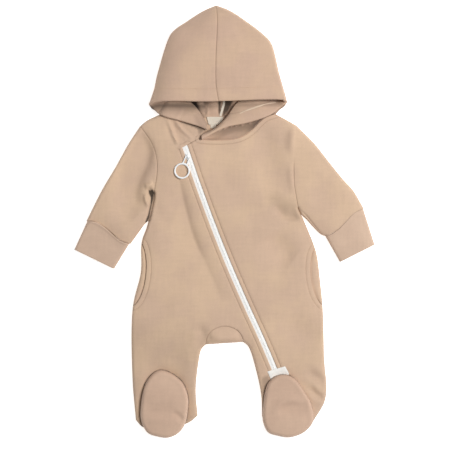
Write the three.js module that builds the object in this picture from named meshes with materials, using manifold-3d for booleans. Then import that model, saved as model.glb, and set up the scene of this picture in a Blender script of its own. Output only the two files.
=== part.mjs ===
// Hooded baby overalls with feet, in thick sweatshirt fleece, laid flat on their back and closed by
// a slanting zip. Millimetres; X to the wearer's left, Y towards the hood, Z up from the table.
// The origin is on the table, in the middle of the garment's length and width.
import * as THREE from "three";
import { mergeVertices } from "three/addons/utils/BufferGeometryUtils.js";
import Module from "manifold-3d";

const wasm = await Module();
wasm.setup();

// ---------------------------------------------------------------- cloth and how it lies
const CLOTH = 2; // thickness of the fleece
const CUFF_CLOTH = 3.2; // a cuff is folded double
const CUFF_LOFT = 10; // top of a cuff over its folded edges
const TAPE = 0.8; // zip tape
const LABEL = 0.8; // woven label, folded
const SEAM = 0.3; // gap between pieces that are sewn together
const EDGE_LIFT = 4; // underside of the side seam above the table
const FRONT_EDGE = EDGE_LIFT + 2 * CLOTH + 3 * SEAM; // top of the front at the side seam
const FOLD_LEVEL = (EDGE_LIFT + FRONT_EDGE) / 2; // where a sleeve folds over at its edges
const BACK_TOP = FOLD_LEVEL - 0.15; // the back keeps below this, and the front above the next
const FRONT_BOTTOM = FOLD_LEVEL + 0.15;
const LOFT = 17; // top of the front where two layers lie over trapped air
const FRONT_ROLL = 27; // how far in from the edge the front reaches its loft
const BACK_ROLL = 15; // how far in from the edge the back reaches the table
const FOOT_PUFF = 15; // how far a foot stands above the leg
const FOOT_ROLL = 24;
const ZIP_HALF = 4.3; // half of the slot between the two fronts
const TAPE_HALF = 9; // half of the tape, most of it under the fronts
const TAPE_DROP = 3.2; // top of the tape below the top of the fronts

// ---------------------------------------------------------------- outlines, seen from above
// A smooth line through [x, y] points, as Vector2 steps.
function line(points, stepsPerSpan = 3) {
  const curve = new THREE.CatmullRomCurve3(points.map(([x, y]) => new THREE.Vector3(x, y, 0)), false, "centripetal");
  return curve.getPoints(stepsPerSpan * (points.length - 1)).map((p) => new THREE.Vector2(p.x, p.y));
}

const corner = (x, y) => [new THREE.Vector2(x, y)];

const sideSeam = {
  right: line([[-113, 45], [-120.5, 5], [-132, -33], [-134, -80], [-147, -138], [-147.5, -250], [-142, -318]]),
  left: line([[118, 21], [133, -12], [147, -50], [153, -94], [157.5, -140], [160, -222], [163.5, -268], [160, -290], [143, -319]]),
};
const innerLeg = {
  right: line([[-30, -196], [-39, -215], [-46, -270], [-43, -311]]),
  left: line([[30, -191], [38, -198], [50, -236], [59, -280], [60, -312]]),
};
const heel = {
  right: line([[-43, -311], [-55, -321], [-92, -333], [-130, -330], [-142, -318]]),
  left: line([[60, -312], [78, -333], [102, -338], [128, -335], [143, -319]]),
};
const armhole = {
  right: line([[-134, 151], [-112, 115], [-107.5, 85], [-113, 45]]),
  left: line([[115, 152], [111.5, 110], [112, 60], [118, 21]]),
};
const shoulder = {
  right: line([[-104, 171], [-122, 162], [-134, 151]], 3),
  left: line([[82, 172], [99, 161], [115, 152]], 3),
};
const frontNeck = [
  ...line([[-104, 171], [-66, 165.5], [-38, 156.5], [-29.5, 147.5]], 4),
  ...corner(-39.5, 134.8),
  ...line([[-42, 131], [-16, 129.5], [12, 132], [37, 142], [61, 161], [82, 172]], 4),
];
const backNeck = line([[-104, 171], [-60, 168], [-13, 167], [40, 168], [82, 172]], 3);

const foot = {
  right: { x: -97, y: -292.5, length: 109, width: 78, tilt: 0.1 },
  left: { x: 101, y: -295.5, length: 101, width: 82, tilt: -0.02 },
};
const gussetShape = { x: -1, y: -191, width: 59, rise: 25 };
const pocketMouth = {
  right: { x: -146, y: -82, width: 42, length: 108, tilt: -0.09 },
  left: { x: 158, y: -86, width: 41, length: 100, tilt: 0.11 },
};

// The sole's egg outline: narrow at the ankle, wide at the toes. A grow over 0 is all round.
function eggOutline({ x, y, length, width, tilt }, grow = 0, steps = 28) {
  const points = [];
  for (let i = 0; i < steps; i++) {
    const angle = (2 * Math.PI * i) / steps;
    const along = (length / 2 + grow) * Math.sin(angle);
    const across = (width / 2 + grow) * Math.cos(angle) * (1 - 0.14 * Math.sin(angle)) ;
    points.push(new THREE.Vector2(
      x + across * Math.cos(tilt) - along * Math.sin(tilt),
      y + across * Math.sin(tilt) + along * Math.cos(tilt),
    ));
  }
  return points;
}

// A plain ellipse, for a pocket's mouth.
function ovalOutline({ x, y, length, width, tilt }, grow = 0, steps = 28) {
  const points = [];
  for (let i = 0; i < steps; i++) {
    const angle = (2 * Math.PI * i) / steps;
    const across = (width / 2 + grow) * Math.cos(angle);
    const along = (length / 2 + grow) * Math.sin(angle);
    points.push(new THREE.Vector2(
      x + across * Math.cos(tilt) - along * Math.sin(tilt),
      y + across * Math.sin(tilt) + along * Math.cos(tilt),
    ));
  }
  return points;
}

// The half-moon at the crotch, mirrored below the fold for the back. A grow over 0 is all round.
function gussetOutline({ x, y, width, rise }, grow = 0, steps = 20) {
  const points = [];
  for (let i = 0; i < steps; i++) {
    const angle = (2 * Math.PI * i) / steps;
    points.push(new THREE.Vector2(
      x + (width / 2 + grow) * Math.cos(angle),
      y + (rise + grow) * Math.sin(angle),
    ));
  }
  return points;
}

// Both sides of a line moved sideways, as one closed strip.
function strip(path, from, to) {
  const side = (distance) => path.map((p, i) => {
    const ahead = path[Math.min(i + 1, path.length - 1)];
    const behind = path[Math.max(i - 1, 0)];
    const normal = new THREE.Vector2(behind.y - ahead.y, ahead.x - behind.x).normalize();
    return p.clone().addScaledVector(normal, distance);
  });
  return [...side(from), ...side(to).reverse()];
}

const bodyOutline = (neck) => [
  ...neck.slice().reverse(), ...shoulder.right, ...armhole.right, ...sideSeam.right,
  ...heel.right.slice().reverse(), ...innerLeg.right.slice().reverse(), ...innerLeg.left,
  ...heel.left, ...sideSeam.left.slice().reverse(), ...armhole.left.slice().reverse(),
  ...shoulder.left.slice().reverse(),
];

// ---------------------------------------------------------------- sleeves and cuffs, in plan
// A sleeve's two edges start inside the body and end past the cuff's seam, and are trimmed there.
const sleeveEdge = {
  right: {
    top: line([[-112, 180], [-134.5, 151], [-154, 124], [-174, 86], [-197, 47], [-221, 0], [-229, -18]], 2),
    under: line([[-94, 66], [-117.5, 45], [-121, 28], [-121, 14], [-127, -1], [-150.5, -36], [-160, -52]], 2),
    seam: line([[-221, 0], [-203, -2], [-186, -13], [-168, -29], [-150.5, -36]], 3),
    cuffTop: line([[-213, 12], [-240.5, -45]], 4),
    cuffUnder: line([[-146, -19], [-177, -76]], 4),
  },
  left: {
    top: line([[92, 178], [115.5, 152], [144, 124], [167, 94], [189, 66], [221, 19], [230, 3]], 2),
    under: line([[102, 36], [120, 22], [133, 8], [141, -2], [148, -9], [160, -23], [171, -37]], 2),
    seam: line([[160, -23], [184, -8], [202, 10], [221, 19]], 3),
    cuffTop: line([[212, 33], [240.5, -37]], 4),
    cuffUnder: line([[146, -4], [185, -65]], 4),
  },
};

// ---------------------------------------------------------------- height of the cloth
const past = (edge, from) => edge.slice(from);
const silhouettes = [
  [
    ...corner(-107, 239), ...corner(-122, 190), ...shoulder.right, ...past(sleeveEdge.right.top, 3),
    ...corner(-247, -60), ...corner(-186, -92), ...past(sleeveEdge.right.under, 2).reverse(), ...sideSeam.right,
    ...heel.right.slice().reverse(), ...innerLeg.right.slice().reverse(), ...innerLeg.left,
    ...heel.left, ...sideSeam.left.slice().reverse(), ...past(sleeveEdge.left.under, 2), ...corner(194, -79),
    ...corner(248, -52), ...past(sleeveEdge.left.top, 3).reverse(), ...shoulder.left.slice().reverse(),
    ...corner(99, 190), ...corner(86, 239),
  ],
  eggOutline(foot.right),
  eggOutline(foot.left),
];

// Distance from a point to a closed outline: positive inside, negative outside.
function depthInside(outline, x, y) {
  let nearest = Infinity;
  let inside = false;
  for (let i = 0, j = outline.length - 1; i < outline.length; j = i++) {
    const a = outline[j];
    const b = outline[i];
    const dx = b.x - a.x;
    const dy = b.y - a.y;
    const length2 = dx * dx + dy * dy || 1;
    const t = THREE.MathUtils.clamp(((x - a.x) * dx + (y - a.y) * dy) / length2, 0, 1);
    nearest = Math.min(nearest, Math.hypot(x - a.x - t * dx, y - a.y - t * dy));
    if (a.y > y !== b.y > y && x < a.x + ((y - a.y) * dx) / dy) inside = !inside;
  }
  return inside ? nearest : -nearest;
}

const edgeDepth = (x, y) => Math.max(...silhouettes.map((s) => depthInside(s, x, y)));

// 0 at an edge, rising as a quarter of a sine to 1 at the roll's width; it goes on below 0 outside.
const rounding = (depth, roll) => Math.sin((Math.PI / 2) * THREE.MathUtils.clamp(depth / roll, -0.7, 1));

// Soft folds of the front: a ridge over 0 or a trough under 0, along a line between two ends.
const folds = [
  { name: "beside the zip, chest", from: [-74, 66], to: [-38, -36], width: 10, height: -3.2 },
  { name: "beside the zip, belly", from: [-38, -36], to: [4, -112], width: 11, height: -2.6 },
  { name: "neck to zip, outer", from: [-91, 156], to: [-74, 108], width: 5, height: -1.6 },
  { name: "neck to zip, inner", from: [-78, 158], to: [-52, 134], width: 5, height: -1.6 },
  { name: "left chest", from: [84, 142], to: [92, 66], width: 15, height: -2.4 },
  { name: "left armpit", from: [76, 34], to: [118, 8], width: 8, height: -3.4 },
  { name: "left waist", from: [92, -14], to: [128, -34], width: 12, height: -2 },
  { name: "right armhole", from: [-124, 128], to: [-128, 60], width: 11, height: -2.6 },
  { name: "right armpit", from: [-112, 52], to: [-92, 32], width: 8, height: -2 },
  { name: "right thigh", from: [-128, -214], to: [-64, -224], width: 14, height: -2 },
  { name: "left thigh", from: [100, -180], to: [144, -196], width: 14, height: -1.8 },
  { name: "left ankle", from: [134, -262], to: [160, -280], width: 8, height: -2.4 },
  { name: "right foot, across", from: [-132, -296], to: [-62, -300], width: 7, height: -3.2 },
  { name: "left foot, across", from: [72, -304], to: [134, -296], width: 7, height: -3.2 },
];

function foldHeight(x, y) {
  let sum = 0;
  for (const { from, to, width, height } of folds) {
    const dx = to[0] - from[0];
    const dy = to[1] - from[1];
    const t = THREE.MathUtils.clamp(((x - from[0]) * dx + (y - from[1]) * dy) / (dx * dx + dy * dy), 0, 1);
    const away = Math.hypot(x - from[0] - t * dx, y - from[1] - t * dy);
    sum += height * Math.exp(-((away / width) ** 2));
  }
  return sum;
}

// Top of the front at a place, with its folds fading out at the seams.
function frontTop(x, y) {
  const depth = edgeDepth(x, y);
  const rise = (LOFT - FRONT_EDGE) * rounding(depth, FRONT_ROLL);
  return FRONT_EDGE + rise + foldHeight(x, y) * rounding(depth, FRONT_ROLL / 2);
}

const backUnderside = (x, y) => EDGE_LIFT * (1 - rounding(edgeDepth(x, y), BACK_ROLL));
const footTop = (egg) => (x, y) =>
  frontTop(x, y) + FOOT_PUFF * rounding(depthInside(eggOutline(egg), x, y), FOOT_ROLL);

// ---------------------------------------------------------------- making solids
// Two grids of points, outer and inner, closed round their rims into one wall.
function wallGeometry(outer, inner, closedAround = false) {
  const rows = outer.length;
  const columns = outer[0].length;
  const spans = closedAround ? columns : columns - 1;
  const positions = [...outer.flat(), ...inner.flat()].flatMap((p) => [p.x, p.y, p.z]);
  const at = (i, j, layer) => layer * rows * columns + i * columns + (j % columns);
  const index = [];
  const quad = (a, b, c, d) => index.push(a, b, c, a, c, d);
  for (let i = 0; i < rows - 1; i++) {
    for (let j = 0; j < spans; j++) {
      quad(at(i, j, 0), at(i, j + 1, 0), at(i + 1, j + 1, 0), at(i + 1, j, 0));
      quad(at(i, j, 1), at(i + 1, j, 1), at(i + 1, j + 1, 1), at(i, j + 1, 1));
    }
    if (!closedAround) {
      quad(at(i, 0, 0), at(i + 1, 0, 0), at(i + 1, 0, 1), at(i, 0, 1));
      quad(at(i, columns - 1, 0), at(i, columns - 1, 1), at(i + 1, columns - 1, 1), at(i + 1, columns - 1, 0));
    }
  }
  for (let j = 0; j < spans; j++) {
    quad(at(0, j, 0), at(0, j, 1), at(0, j + 1, 1), at(0, j + 1, 0));
    quad(at(rows - 1, j, 0), at(rows - 1, j + 1, 0), at(rows - 1, j + 1, 1), at(rows - 1, j, 1));
  }
  const geometry = new THREE.BufferGeometry();
  geometry.setAttribute("position", new THREE.Float32BufferAttribute(positions, 3));
  geometry.setIndex(index);
  return geometry;
}

// The surface normal at each point of a grid, from its neighbours.
function gridNormals(grid, closedAround = false) {
  const rows = grid.length;
  const columns = grid[0].length;
  const wrap = (j) => (closedAround ? (j + columns) % columns : THREE.MathUtils.clamp(j, 0, columns - 1));
  return grid.map((row, i) => row.map((_, j) => {
    const along = grid[Math.min(i + 1, rows - 1)][j].clone().sub(grid[Math.max(i - 1, 0)][j]);
    const across = row[wrap(j + 1)].clone().sub(row[wrap(j - 1)]);
    return across.cross(along).normalize();
  }));
}

// A wall whose outer face is the grid, or its middle where the split is a half.
function wallOf(grid, thickness, { closedAround = false, split = 0 } = {}) {
  const normals = gridNormals(grid, closedAround);
  const moved = (distance) => grid.map((row, i) => row.map((p, j) => p.clone().addScaledVector(normals[i][j], distance)));
  return solidOf(wallGeometry(moved(thickness * split), moved(thickness * (split - 1)), closedAround));
}

// A closed mesh as a manifold-3d solid, facing out.
function solidOf(geometry) {
  const bare = new THREE.BufferGeometry();
  bare.setAttribute("position", geometry.getAttribute("position"));
  if (geometry.index) bare.setIndex(geometry.index);
  const merged = mergeVertices(bare, 1e-4);
  const solid = (triVerts) => new wasm.Manifold(new wasm.Mesh({
    numProp: 3,
    vertProperties: merged.attributes.position.array,
    triVerts,
  }));
  const triVerts = new Uint32Array(merged.index.array);
  const made = solid(triVerts);
  return made.volume() > 0 ? made : solid(triVerts.reverse());
}

function meshOf(name, solid, finish) {
  const { vertProperties, triVerts, numProp } = solid.getMesh();
  const positions = new Float32Array((vertProperties.length / numProp) * 3);
  for (let i = 0; i < positions.length / 3; i++) {
    for (let k = 0; k < 3; k++) positions[3 * i + k] = vertProperties[numProp * i + k];
  }
  const geometry = new THREE.BufferGeometry();
  geometry.setAttribute("position", new THREE.BufferAttribute(positions, 3));
  geometry.setIndex(new THREE.BufferAttribute(triVerts, 1));
  geometry.computeVertexNormals();
  const mesh = new THREE.Mesh(geometry, finish);
  mesh.name = name;
  return mesh;
}

// The upright block that a cutter of this outline would stamp out.
function cutter(outline, low = -20, high = 80) {
  const shape = new THREE.Shape(outline);
  return solidOf(new THREE.ExtrudeGeometry(shape, { depth: high - low, bevelEnabled: false }).translate(0, 0, low));
}

// Cloth laid over a height, as a wide wall to cut pieces from. Up is +1 where the height is its top
// face and -1 where it is its underside.
function laidCloth(height, box, cell, thickness, up = 1) {
  const columns = Math.ceil((box.xMax - box.xMin) / cell);
  const rows = Math.ceil((box.yMax - box.yMin) / cell);
  const outer = [];
  const inner = [];
  const slope = 0.5;
  for (let i = 0; i <= rows; i++) {
    outer.push([]);
    inner.push([]);
    for (let j = 0; j <= columns; j++) {
      const x = box.xMin + j * cell;
      const y = box.yMin + i * cell;
      const normal = new THREE.Vector3(
        -(height(x + slope, y) - height(x - slope, y)) / (2 * slope),
        -(height(x, y + slope) - height(x, y - slope)) / (2 * slope),
        1,
      ).normalize();
      const face = new THREE.Vector3(x, y, height(x, y));
      outer[i].push(face);
      inner[i].push(face.clone().addScaledVector(normal, -up * thickness));
    }
  }
  return solidOf(wallGeometry(outer, inner));
}

function boxAround(outline, margin) {
  const xs = outline.map((p) => p.x);
  const ys = outline.map((p) => p.y);
  return {
    xMin: Math.min(...xs) - margin, xMax: Math.max(...xs) + margin,
    yMin: Math.min(...ys) - margin, yMax: Math.max(...ys) + margin,
  };
}

// ---------------------------------------------------------------- finishes
const fleece = new THREE.MeshStandardMaterial({ name: "fleece", color: 0xcfae90, roughness: 0.95, metalness: 0 });
const ribbed = new THREE.MeshStandardMaterial({ name: "cuff_and_foot", color: 0xc8a58b, roughness: 0.95, metalness: 0 });
const whiteTape = new THREE.MeshStandardMaterial({ name: "zip_tape", color: 0xf2f1ee, roughness: 0.7, metalness: 0 });
const whiteEnamel = new THREE.MeshStandardMaterial({ name: "white_enamel", color: 0xf6f4f1, roughness: 0.35, metalness: 0.1 });
const labelCloth = new THREE.MeshStandardMaterial({ name: "label", color: 0xe9e5dc, roughness: 0.8, metalness: 0 });

// Everything on one side of a line within a reach, to cut a piece off along it.
function cutAlong(path, gap, reach, extend = 14) {
  const first = path[0].clone().sub(path[1]).setLength(extend).add(path[0]);
  const last = path.at(-1).clone().sub(path.at(-2)).setLength(extend).add(path.at(-1));
  return cutter(strip([first, ...path, last], gap, reach));
}

const union = (parts) => parts.reduce((a, b) => a.add(b));
const biggest = (solid) => solid.decompose().sort((a, b) => b.volume() - a.volume())[0];

// ---------------------------------------------------------------- fronts, back, gusset, pockets, feet
const sides = ["right", "left"];
const BODY_CELL = 15; // grid of the fronts
const BACK_CELL = 19;
const PIECE_CELL = 11; // grid of the small pieces

const crotch = [innerLeg.right[0], innerLeg.left[0]];
const gussetBlock = (grow) => cutter(gussetOutline(gussetShape, grow));
const footBlock = (side, grow) => cutter(eggOutline(foot[side], grow));

// Both fronts are one shape slit by the zip, with the gusset, feet and pocket mouths cut away.
function frontPieces() {
  const outline = bodyOutline(frontNeck);
  const slotPath = line([[-75, 149], [-33.5, 34], [24, -103], [96, -268]]);
  const belowSlotTop = cutter([
    ...corner(-75, 115.2), ...corner(-55, 118.3), ...corner(200, 60), ...corner(200, -400),
    ...corner(-200, -400), ...corner(-200, 60),
  ]);
  const slot = cutter(strip(slotPath, -ZIP_HALF, ZIP_HALF)).intersect(belowSlotTop);
  const slit = cutter(strip(line([[-58.5, 115], [-50.3, 130.2], [-40.6, 132.8], [-34, 134.4]], 3), -SEAM, SEAM));
  let cloth = laidCloth(frontTop, boxAround(outline, BODY_CELL), BODY_CELL, CLOTH).intersect(cutter(outline, FRONT_BOTTOM));
  cloth = cloth.subtract(slot).subtract(slit).subtract(gussetBlock(SEAM));
  for (const side of sides) {
    cloth = cloth.subtract(footBlock(side, SEAM)).subtract(cutter(ovalOutline(pocketMouth[side])));
  }
  const [a, b] = cloth.decompose().sort((p, q) => q.volume() - p.volume());
  return a.boundingBox().min[0] < b.boundingBox().min[0] ? { right: a, left: b } : { right: b, left: a };
}

const backOutline = bodyOutline(backNeck);
const backCloth = laidCloth(backUnderside, boxAround([...backOutline, ...eggOutline(foot.left)], 20), BACK_CELL, CLOTH, -1);

function backPiece() {
  let cloth = backCloth.intersect(cutter(backOutline, -20, BACK_TOP)).subtract(gussetBlock(SEAM));
  for (const side of sides) cloth = cloth.subtract(footBlock(side, SEAM));
  return biggest(cloth);
}

// The gusset folds under at the crotch: a front half, a back half and the fold between them.
function gussetPiece() {
  const box = boxAround(gussetOutline(gussetShape), PIECE_CELL);
  const above = cutter([...crotch, ...corner(60, -120), ...corner(-60, -120)]);
  const front = laidCloth(frontTop, box, PIECE_CELL, CLOTH);
  const back = laidCloth(backUnderside, box, PIECE_CELL, CLOTH, -1);
  const fold = cutter(strip(crotch, 0, 2.4), EDGE_LIFT + 0.2, FRONT_EDGE - 0.2);
  return union([front, back, fold]).intersect(gussetBlock(0)).intersect(above);
}

// Inside a pocket's mouth the facing takes the front's place; round the mouth it lies under it.
function pocketPiece(side) {
  const mouth = pocketMouth[side];
  const outline = ovalOutline(mouth, 9);
  const underFront = (x, y) => frontTop(x, y) - 3 * THREE.MathUtils.clamp(edgeDepth(x, y) / 8, 0, 1);
  const cloth = laidCloth(underFront, boxAround(outline, PIECE_CELL), PIECE_CELL, 1.4);
  const inMouth = cutter(ovalOutline(mouth, -SEAM));
  const deepInside = cutter(outline).subtract(cutAlong(sideSeam[side], side === "right" ? -20 : 20, side === "right" ? 10 : -10));
  return biggest(cloth.intersect(cutter(bodyOutline(frontNeck))).intersect(inMouth.add(deepInside)));
}

function footTopPiece(side) {
  const cloth = laidCloth(footTop(foot[side]), boxAround(eggOutline(foot[side]), PIECE_CELL), PIECE_CELL, CLOTH);
  return cloth.intersect(cutter(eggOutline(foot[side]), FRONT_BOTTOM));
}

const solePiece = (side) => backCloth.intersect(cutter(eggOutline(foot[side]), -20, BACK_TOP));

// ---------------------------------------------------------------- sleeves and cuffs
// A flattened tube between two edges. Each ring goes over the top and back underneath; a step is
// a distance in from the first edge, a distance out from the second, or the middle.
const RING = [
  { face: "fold", in: 0 }, { face: "top", in: 1.6 }, { face: "top", in: 7 }, { face: "top", in: 16 },
  { face: "top", middle: true }, { face: "top", out: 16 }, { face: "top", out: 7 }, { face: "top", out: 1.6 },
  { face: "fold", out: 0 }, { face: "under", out: 1.6 }, { face: "under", out: 8 },
  { face: "under", middle: true }, { face: "under", in: 8 }, { face: "under", in: 1.6 },
];

// The tube's solid inside, shrunk all round by an inset; the tube is one of these less another.
function tubeBlock(edgeA, edgeB, inset, overHeight, underHeight) {
  const longer = (edge) => [
    edge[0].clone().sub(edge[1]).setLength(2 * inset).add(edge[0]), ...edge,
    edge.at(-1).clone().sub(edge.at(-2)).setLength(2 * inset).add(edge.at(-1)),
  ];
  const [a, b] = inset ? [longer(edgeA), longer(edgeB)] : [edgeA, edgeB];
  return cappedSolid(a.map((start, i) => {
    const width = start.distanceTo(b[i]);
    return RING.map((step) => {
      const fraction = step.middle ? 0.5 : step.in !== undefined ? (step.in + inset) / width : 1 - (step.out + inset) / width;
      const p = start.clone().lerp(b[i], fraction);
      const top = overHeight(p.x, p.y) - 1.1 * inset;
      const bottom = underHeight(p.x, p.y) + 1.05 * inset;
      return new THREE.Vector3(p.x, p.y, { top, under: bottom, fold: FOLD_LEVEL }[step.face]);
    });
  }));
}

const tubeSolid = (a, b, thickness, over, under) =>
  tubeBlock(a, b, 0, over, under).subtract(tubeBlock(a, b, thickness, over, under));

function sleevePiece(side) {
  const { top, under, seam } = sleeveEdge[side];
  const tube = tubeSolid(top, under, CLOTH, frontTop, backUnderside);
  const bodyward = side === "right" ? 1 : -1;
  return biggest(tube
    .subtract(cutAlong(armhole[side], -SEAM * bodyward, 48 * bodyward))
    .subtract(cutAlong(seam, SEAM / 2, -34)));
}

function cuffPiece(side) {
  const { cuffTop, cuffUnder, seam } = sleeveEdge[side];
  const depth = (x, y) => Math.min(depthFromLine(cuffTop, x, y), depthFromLine(cuffUnder, x, y));
  const over = (x, y) => FOLD_LEVEL + CUFF_LOFT * rounding(depth(x, y), 15);
  const under = (x, y) => FOLD_LEVEL * (1 - rounding(depth(x, y), 8));
  const tube = tubeSolid(cuffTop, cuffUnder, CUFF_CLOTH, over, under);
  return biggest(tube.subtract(cutAlong(seam, -SEAM / 2, 40)));
}

const depthFromLine = (path, x, y) => {
  const a = path[0];
  const b = path.at(-1);
  return Math.abs((b.x - a.x) * (a.y - y) - (a.x - x) * (b.y - a.y)) / a.distanceTo(b);
};

// ---------------------------------------------------------------- hood
const HOOD_MIDDLE = new THREE.Vector2(-12, 246);
const HOOD_SEAM_X = -13.5; // centre seam, over the crown
const HOOD_RIM_Y = 191; // forehead rim
const HOOD_FRONT = 26; // the forehead rim's height over its folds
const HOOD_CROWN = 18; // the same at the crown
const hoodOutline = line([
  [-122, 190], [-112, 220], [-99, 268], [-82, 306], [-53, 326], [-37, 335], [-16, 346], [10, 335], [38, 316],
  [62, 297], [80, 268], [88, 229], [99, 190], [82, 172], [50, 158], [-12, 150], [-75, 158], [-104, 171],
], 2).slice(0, -1);
hoodOutline.push(...line([[-104, 171], [-122, 190]], 3).slice(0, -1));

// A closed pillow in the hood's outline, shrunk by an inset; the hood is one pillow less another.
function hoodPillow(inset) {
  const outline = hoodOutline.map((p) => p.clone().sub(HOOD_MIDDLE).multiplyScalar(1 - inset / p.distanceTo(HOOD_MIDDLE)).add(HOOD_MIDDLE));
  const nose = (depth, roll) => Math.sqrt(1 - (1 - THREE.MathUtils.clamp(depth / roll, 0, 1)) ** 2);
  const stops = [1, 0.98, 0.93, 0.84, 0.68, 0.42, 0.18];
  const ring = (stop, over) => outline.map((p) => {
    const at = HOOD_MIDDLE.clone().lerp(p, stop);
    const depth = stop === 1 ? 0 : depthInside(outline, at.x, at.y);
    const rise = THREE.MathUtils.lerp(HOOD_FRONT, HOOD_CROWN, THREE.MathUtils.clamp((at.y - HOOD_RIM_Y) / 110, 0, 1));
    const z = over
      ? FOLD_LEVEL + 2 + (rise - inset) * nose(depth, 52)
      : FOLD_LEVEL + 2 - (FOLD_LEVEL + 2 - inset) * nose(depth, 15);
    return new THREE.Vector3(at.x, at.y, z);
  });
  const rings = [...stops.slice().reverse().map((s) => ring(s, true)), ...stops.slice(1).map((s) => ring(s, false))];
  return cappedSolid(rings);
}

// Rings of points closed at both ends by a fan.
function cappedSolid(rings) {
  const count = rings[0].length;
  const points = rings.flat();
  const middle = (r) => r.reduce((a, p) => a.add(p), new THREE.Vector3()).divideScalar(count);
  const first = points.push(middle(rings[0])) - 1;
  const last = points.push(middle(rings.at(-1))) - 1;
  const index = [];
  for (let i = 0; i < rings.length - 1; i++) {
    for (let j = 0; j < count; j++) {
      const next = (j + 1) % count;
      const [a, b, c, d] = [i * count + j, i * count + next, (i + 1) * count + next, (i + 1) * count + j];
      index.push(a, b, c, a, c, d);
    }
  }
  for (let j = 0; j < count; j++) {
    const next = (j + 1) % count;
    const base = (rings.length - 1) * count;
    index.push(first, next, j, last, base + j, base + next);
  }
  const geometry = new THREE.BufferGeometry();
  geometry.setAttribute("position", new THREE.Float32BufferAttribute(points.flatMap((p) => [p.x, p.y, p.z]), 3));
  geometry.setIndex(index);
  return solidOf(geometry);
}

// The cheeks: from the neck seam the cloth goes under, turns over at a fold and comes back to its rim.
const cheek = {
  right: {
    seam: line([[-32, 151.5], [-44, 160], [-66, 166.5], [-88, 170.6], [-106, 174]], 3),
    fold: line([[-29.5, 154], [-40, 171], [-62, 193], [-86, 204], [-113, 206]], 3),
    rim: line([[-28, 146.5], [-40, 151.5], [-66, 159.5], [-104, 171.5], [-121, 190]], 3),
  },
  left: {
    seam: line([[-41, 131.8], [-14, 130.2], [12, 133], [38, 143.4], [62, 162.5], [83.5, 174.5]], 3),
    fold: line([[-36, 136], [-18, 150], [0, 167], [20, 192], [52, 206], [90, 204]], 3),
    rim: line([[-36.5, 130.5], [-16, 142.4], [5, 151], [37, 157.6], [72, 169.8], [98, 189.5]], 3),
  },
};

function cheekRoll(side) {
  const { seam, fold, rim } = cheek[side];
  const half = CLOTH / 2;
  const nose = 2.4; // radius of the fold, to the middle of the cloth
  const rows = seam.map((n, i) => {
    const f = fold[i];
    const r = rim[i];
    const low = (p) => frontTop(p.x, p.y) - half;
    const high = (p) => low(p) + 2 * nose;
    const down = n.clone().sub(f).setLength(nose);
    const start = f.clone().add(down);
    const back = r.clone().sub(f).setLength(nose).add(f);
    const point = (p, z) => new THREE.Vector3(p.x, p.y, z);
    return [
      point(n, low(n)),
      point(n.clone().lerp(start, 0.5), low(n.clone().lerp(start, 0.5))),
      point(start, low(start)),
      point(f.clone().lerp(start, 0.3), low(f) + 0.3 * nose),
      point(f, low(f) + nose),
      point(f.clone().lerp(back, 0.3), low(f) + 1.7 * nose),
      point(back, high(back)),
      point(back.clone().lerp(r, 0.5), high(back.clone().lerp(r, 0.5))),
      point(r, high(r) - 1),
    ];
  });
  return wallOf(rows, CLOTH, { split: 0.5 });
}

function hoodPieces() {
  const neck = [...corner(-128, 170), ...backNeck, ...corner(110, 174)];
  const shell = hoodPillow(0).subtract(hoodPillow(CLOTH))
    .subtract(cutter([...corner(-200, 100), ...corner(200, 100), ...corner(200, HOOD_RIM_Y), ...corner(-200, HOOD_RIM_Y)], FOLD_LEVEL + 2, 80))
    .subtract(cutter(strip(neck, SEAM, -60)));
  const whole = union([shell, cheekRoll("right"), cheekRoll("left")])
    .subtract(cutter(bodyOutline(frontNeck).map((p) => p.clone()), 5, 17.2))
    .subtract(cutter([...corner(HOOD_SEAM_X - SEAM / 2, 120), ...corner(HOOD_SEAM_X + SEAM / 2, 120), ...corner(HOOD_SEAM_X + SEAM / 2, 360), ...corner(HOOD_SEAM_X - SEAM / 2, 360)]).subtract(cutter(
      [...corner(-40, 100), ...corner(0, 100), ...corner(0, 160), ...corner(-40, 160)])));
  const [a, b] = whole.decompose().sort((p, q) => q.volume() - p.volume());
  return a.boundingBox().min[0] < b.boundingBox().min[0] ? { right: a, left: b } : { right: b, left: a };
}

// ---------------------------------------------------------------- zip
const SLIDER = { x: -58.8, y: 103 };
const zipAngle = Math.atan2(-240 - 117, 83 + 63.5);
const tapeLevel = (x, y) => frontTop(x, y) - TAPE_DROP;

function tapePiece(side) {
  const path = line([[-66, 124], [-33.5, 34], [24, -103], [90, -254]]);
  const [near, far] = side === "right" ? [-SEAM / 2, -TAPE_HALF] : [SEAM / 2, TAPE_HALF];
  const cloth = laidCloth(tapeLevel, boxAround(path, 14), 22, TAPE);
  return biggest(cloth.intersect(cutter(strip(path, near, far))).subtract(footBlock("left", SEAM)));
}

const place = (geometry, angle, x, y, z) => solidOf(geometry.rotateZ(angle).translate(x, y, z));
const bar = (length, width, height) => new THREE.BoxGeometry(length, width, height);

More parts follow.
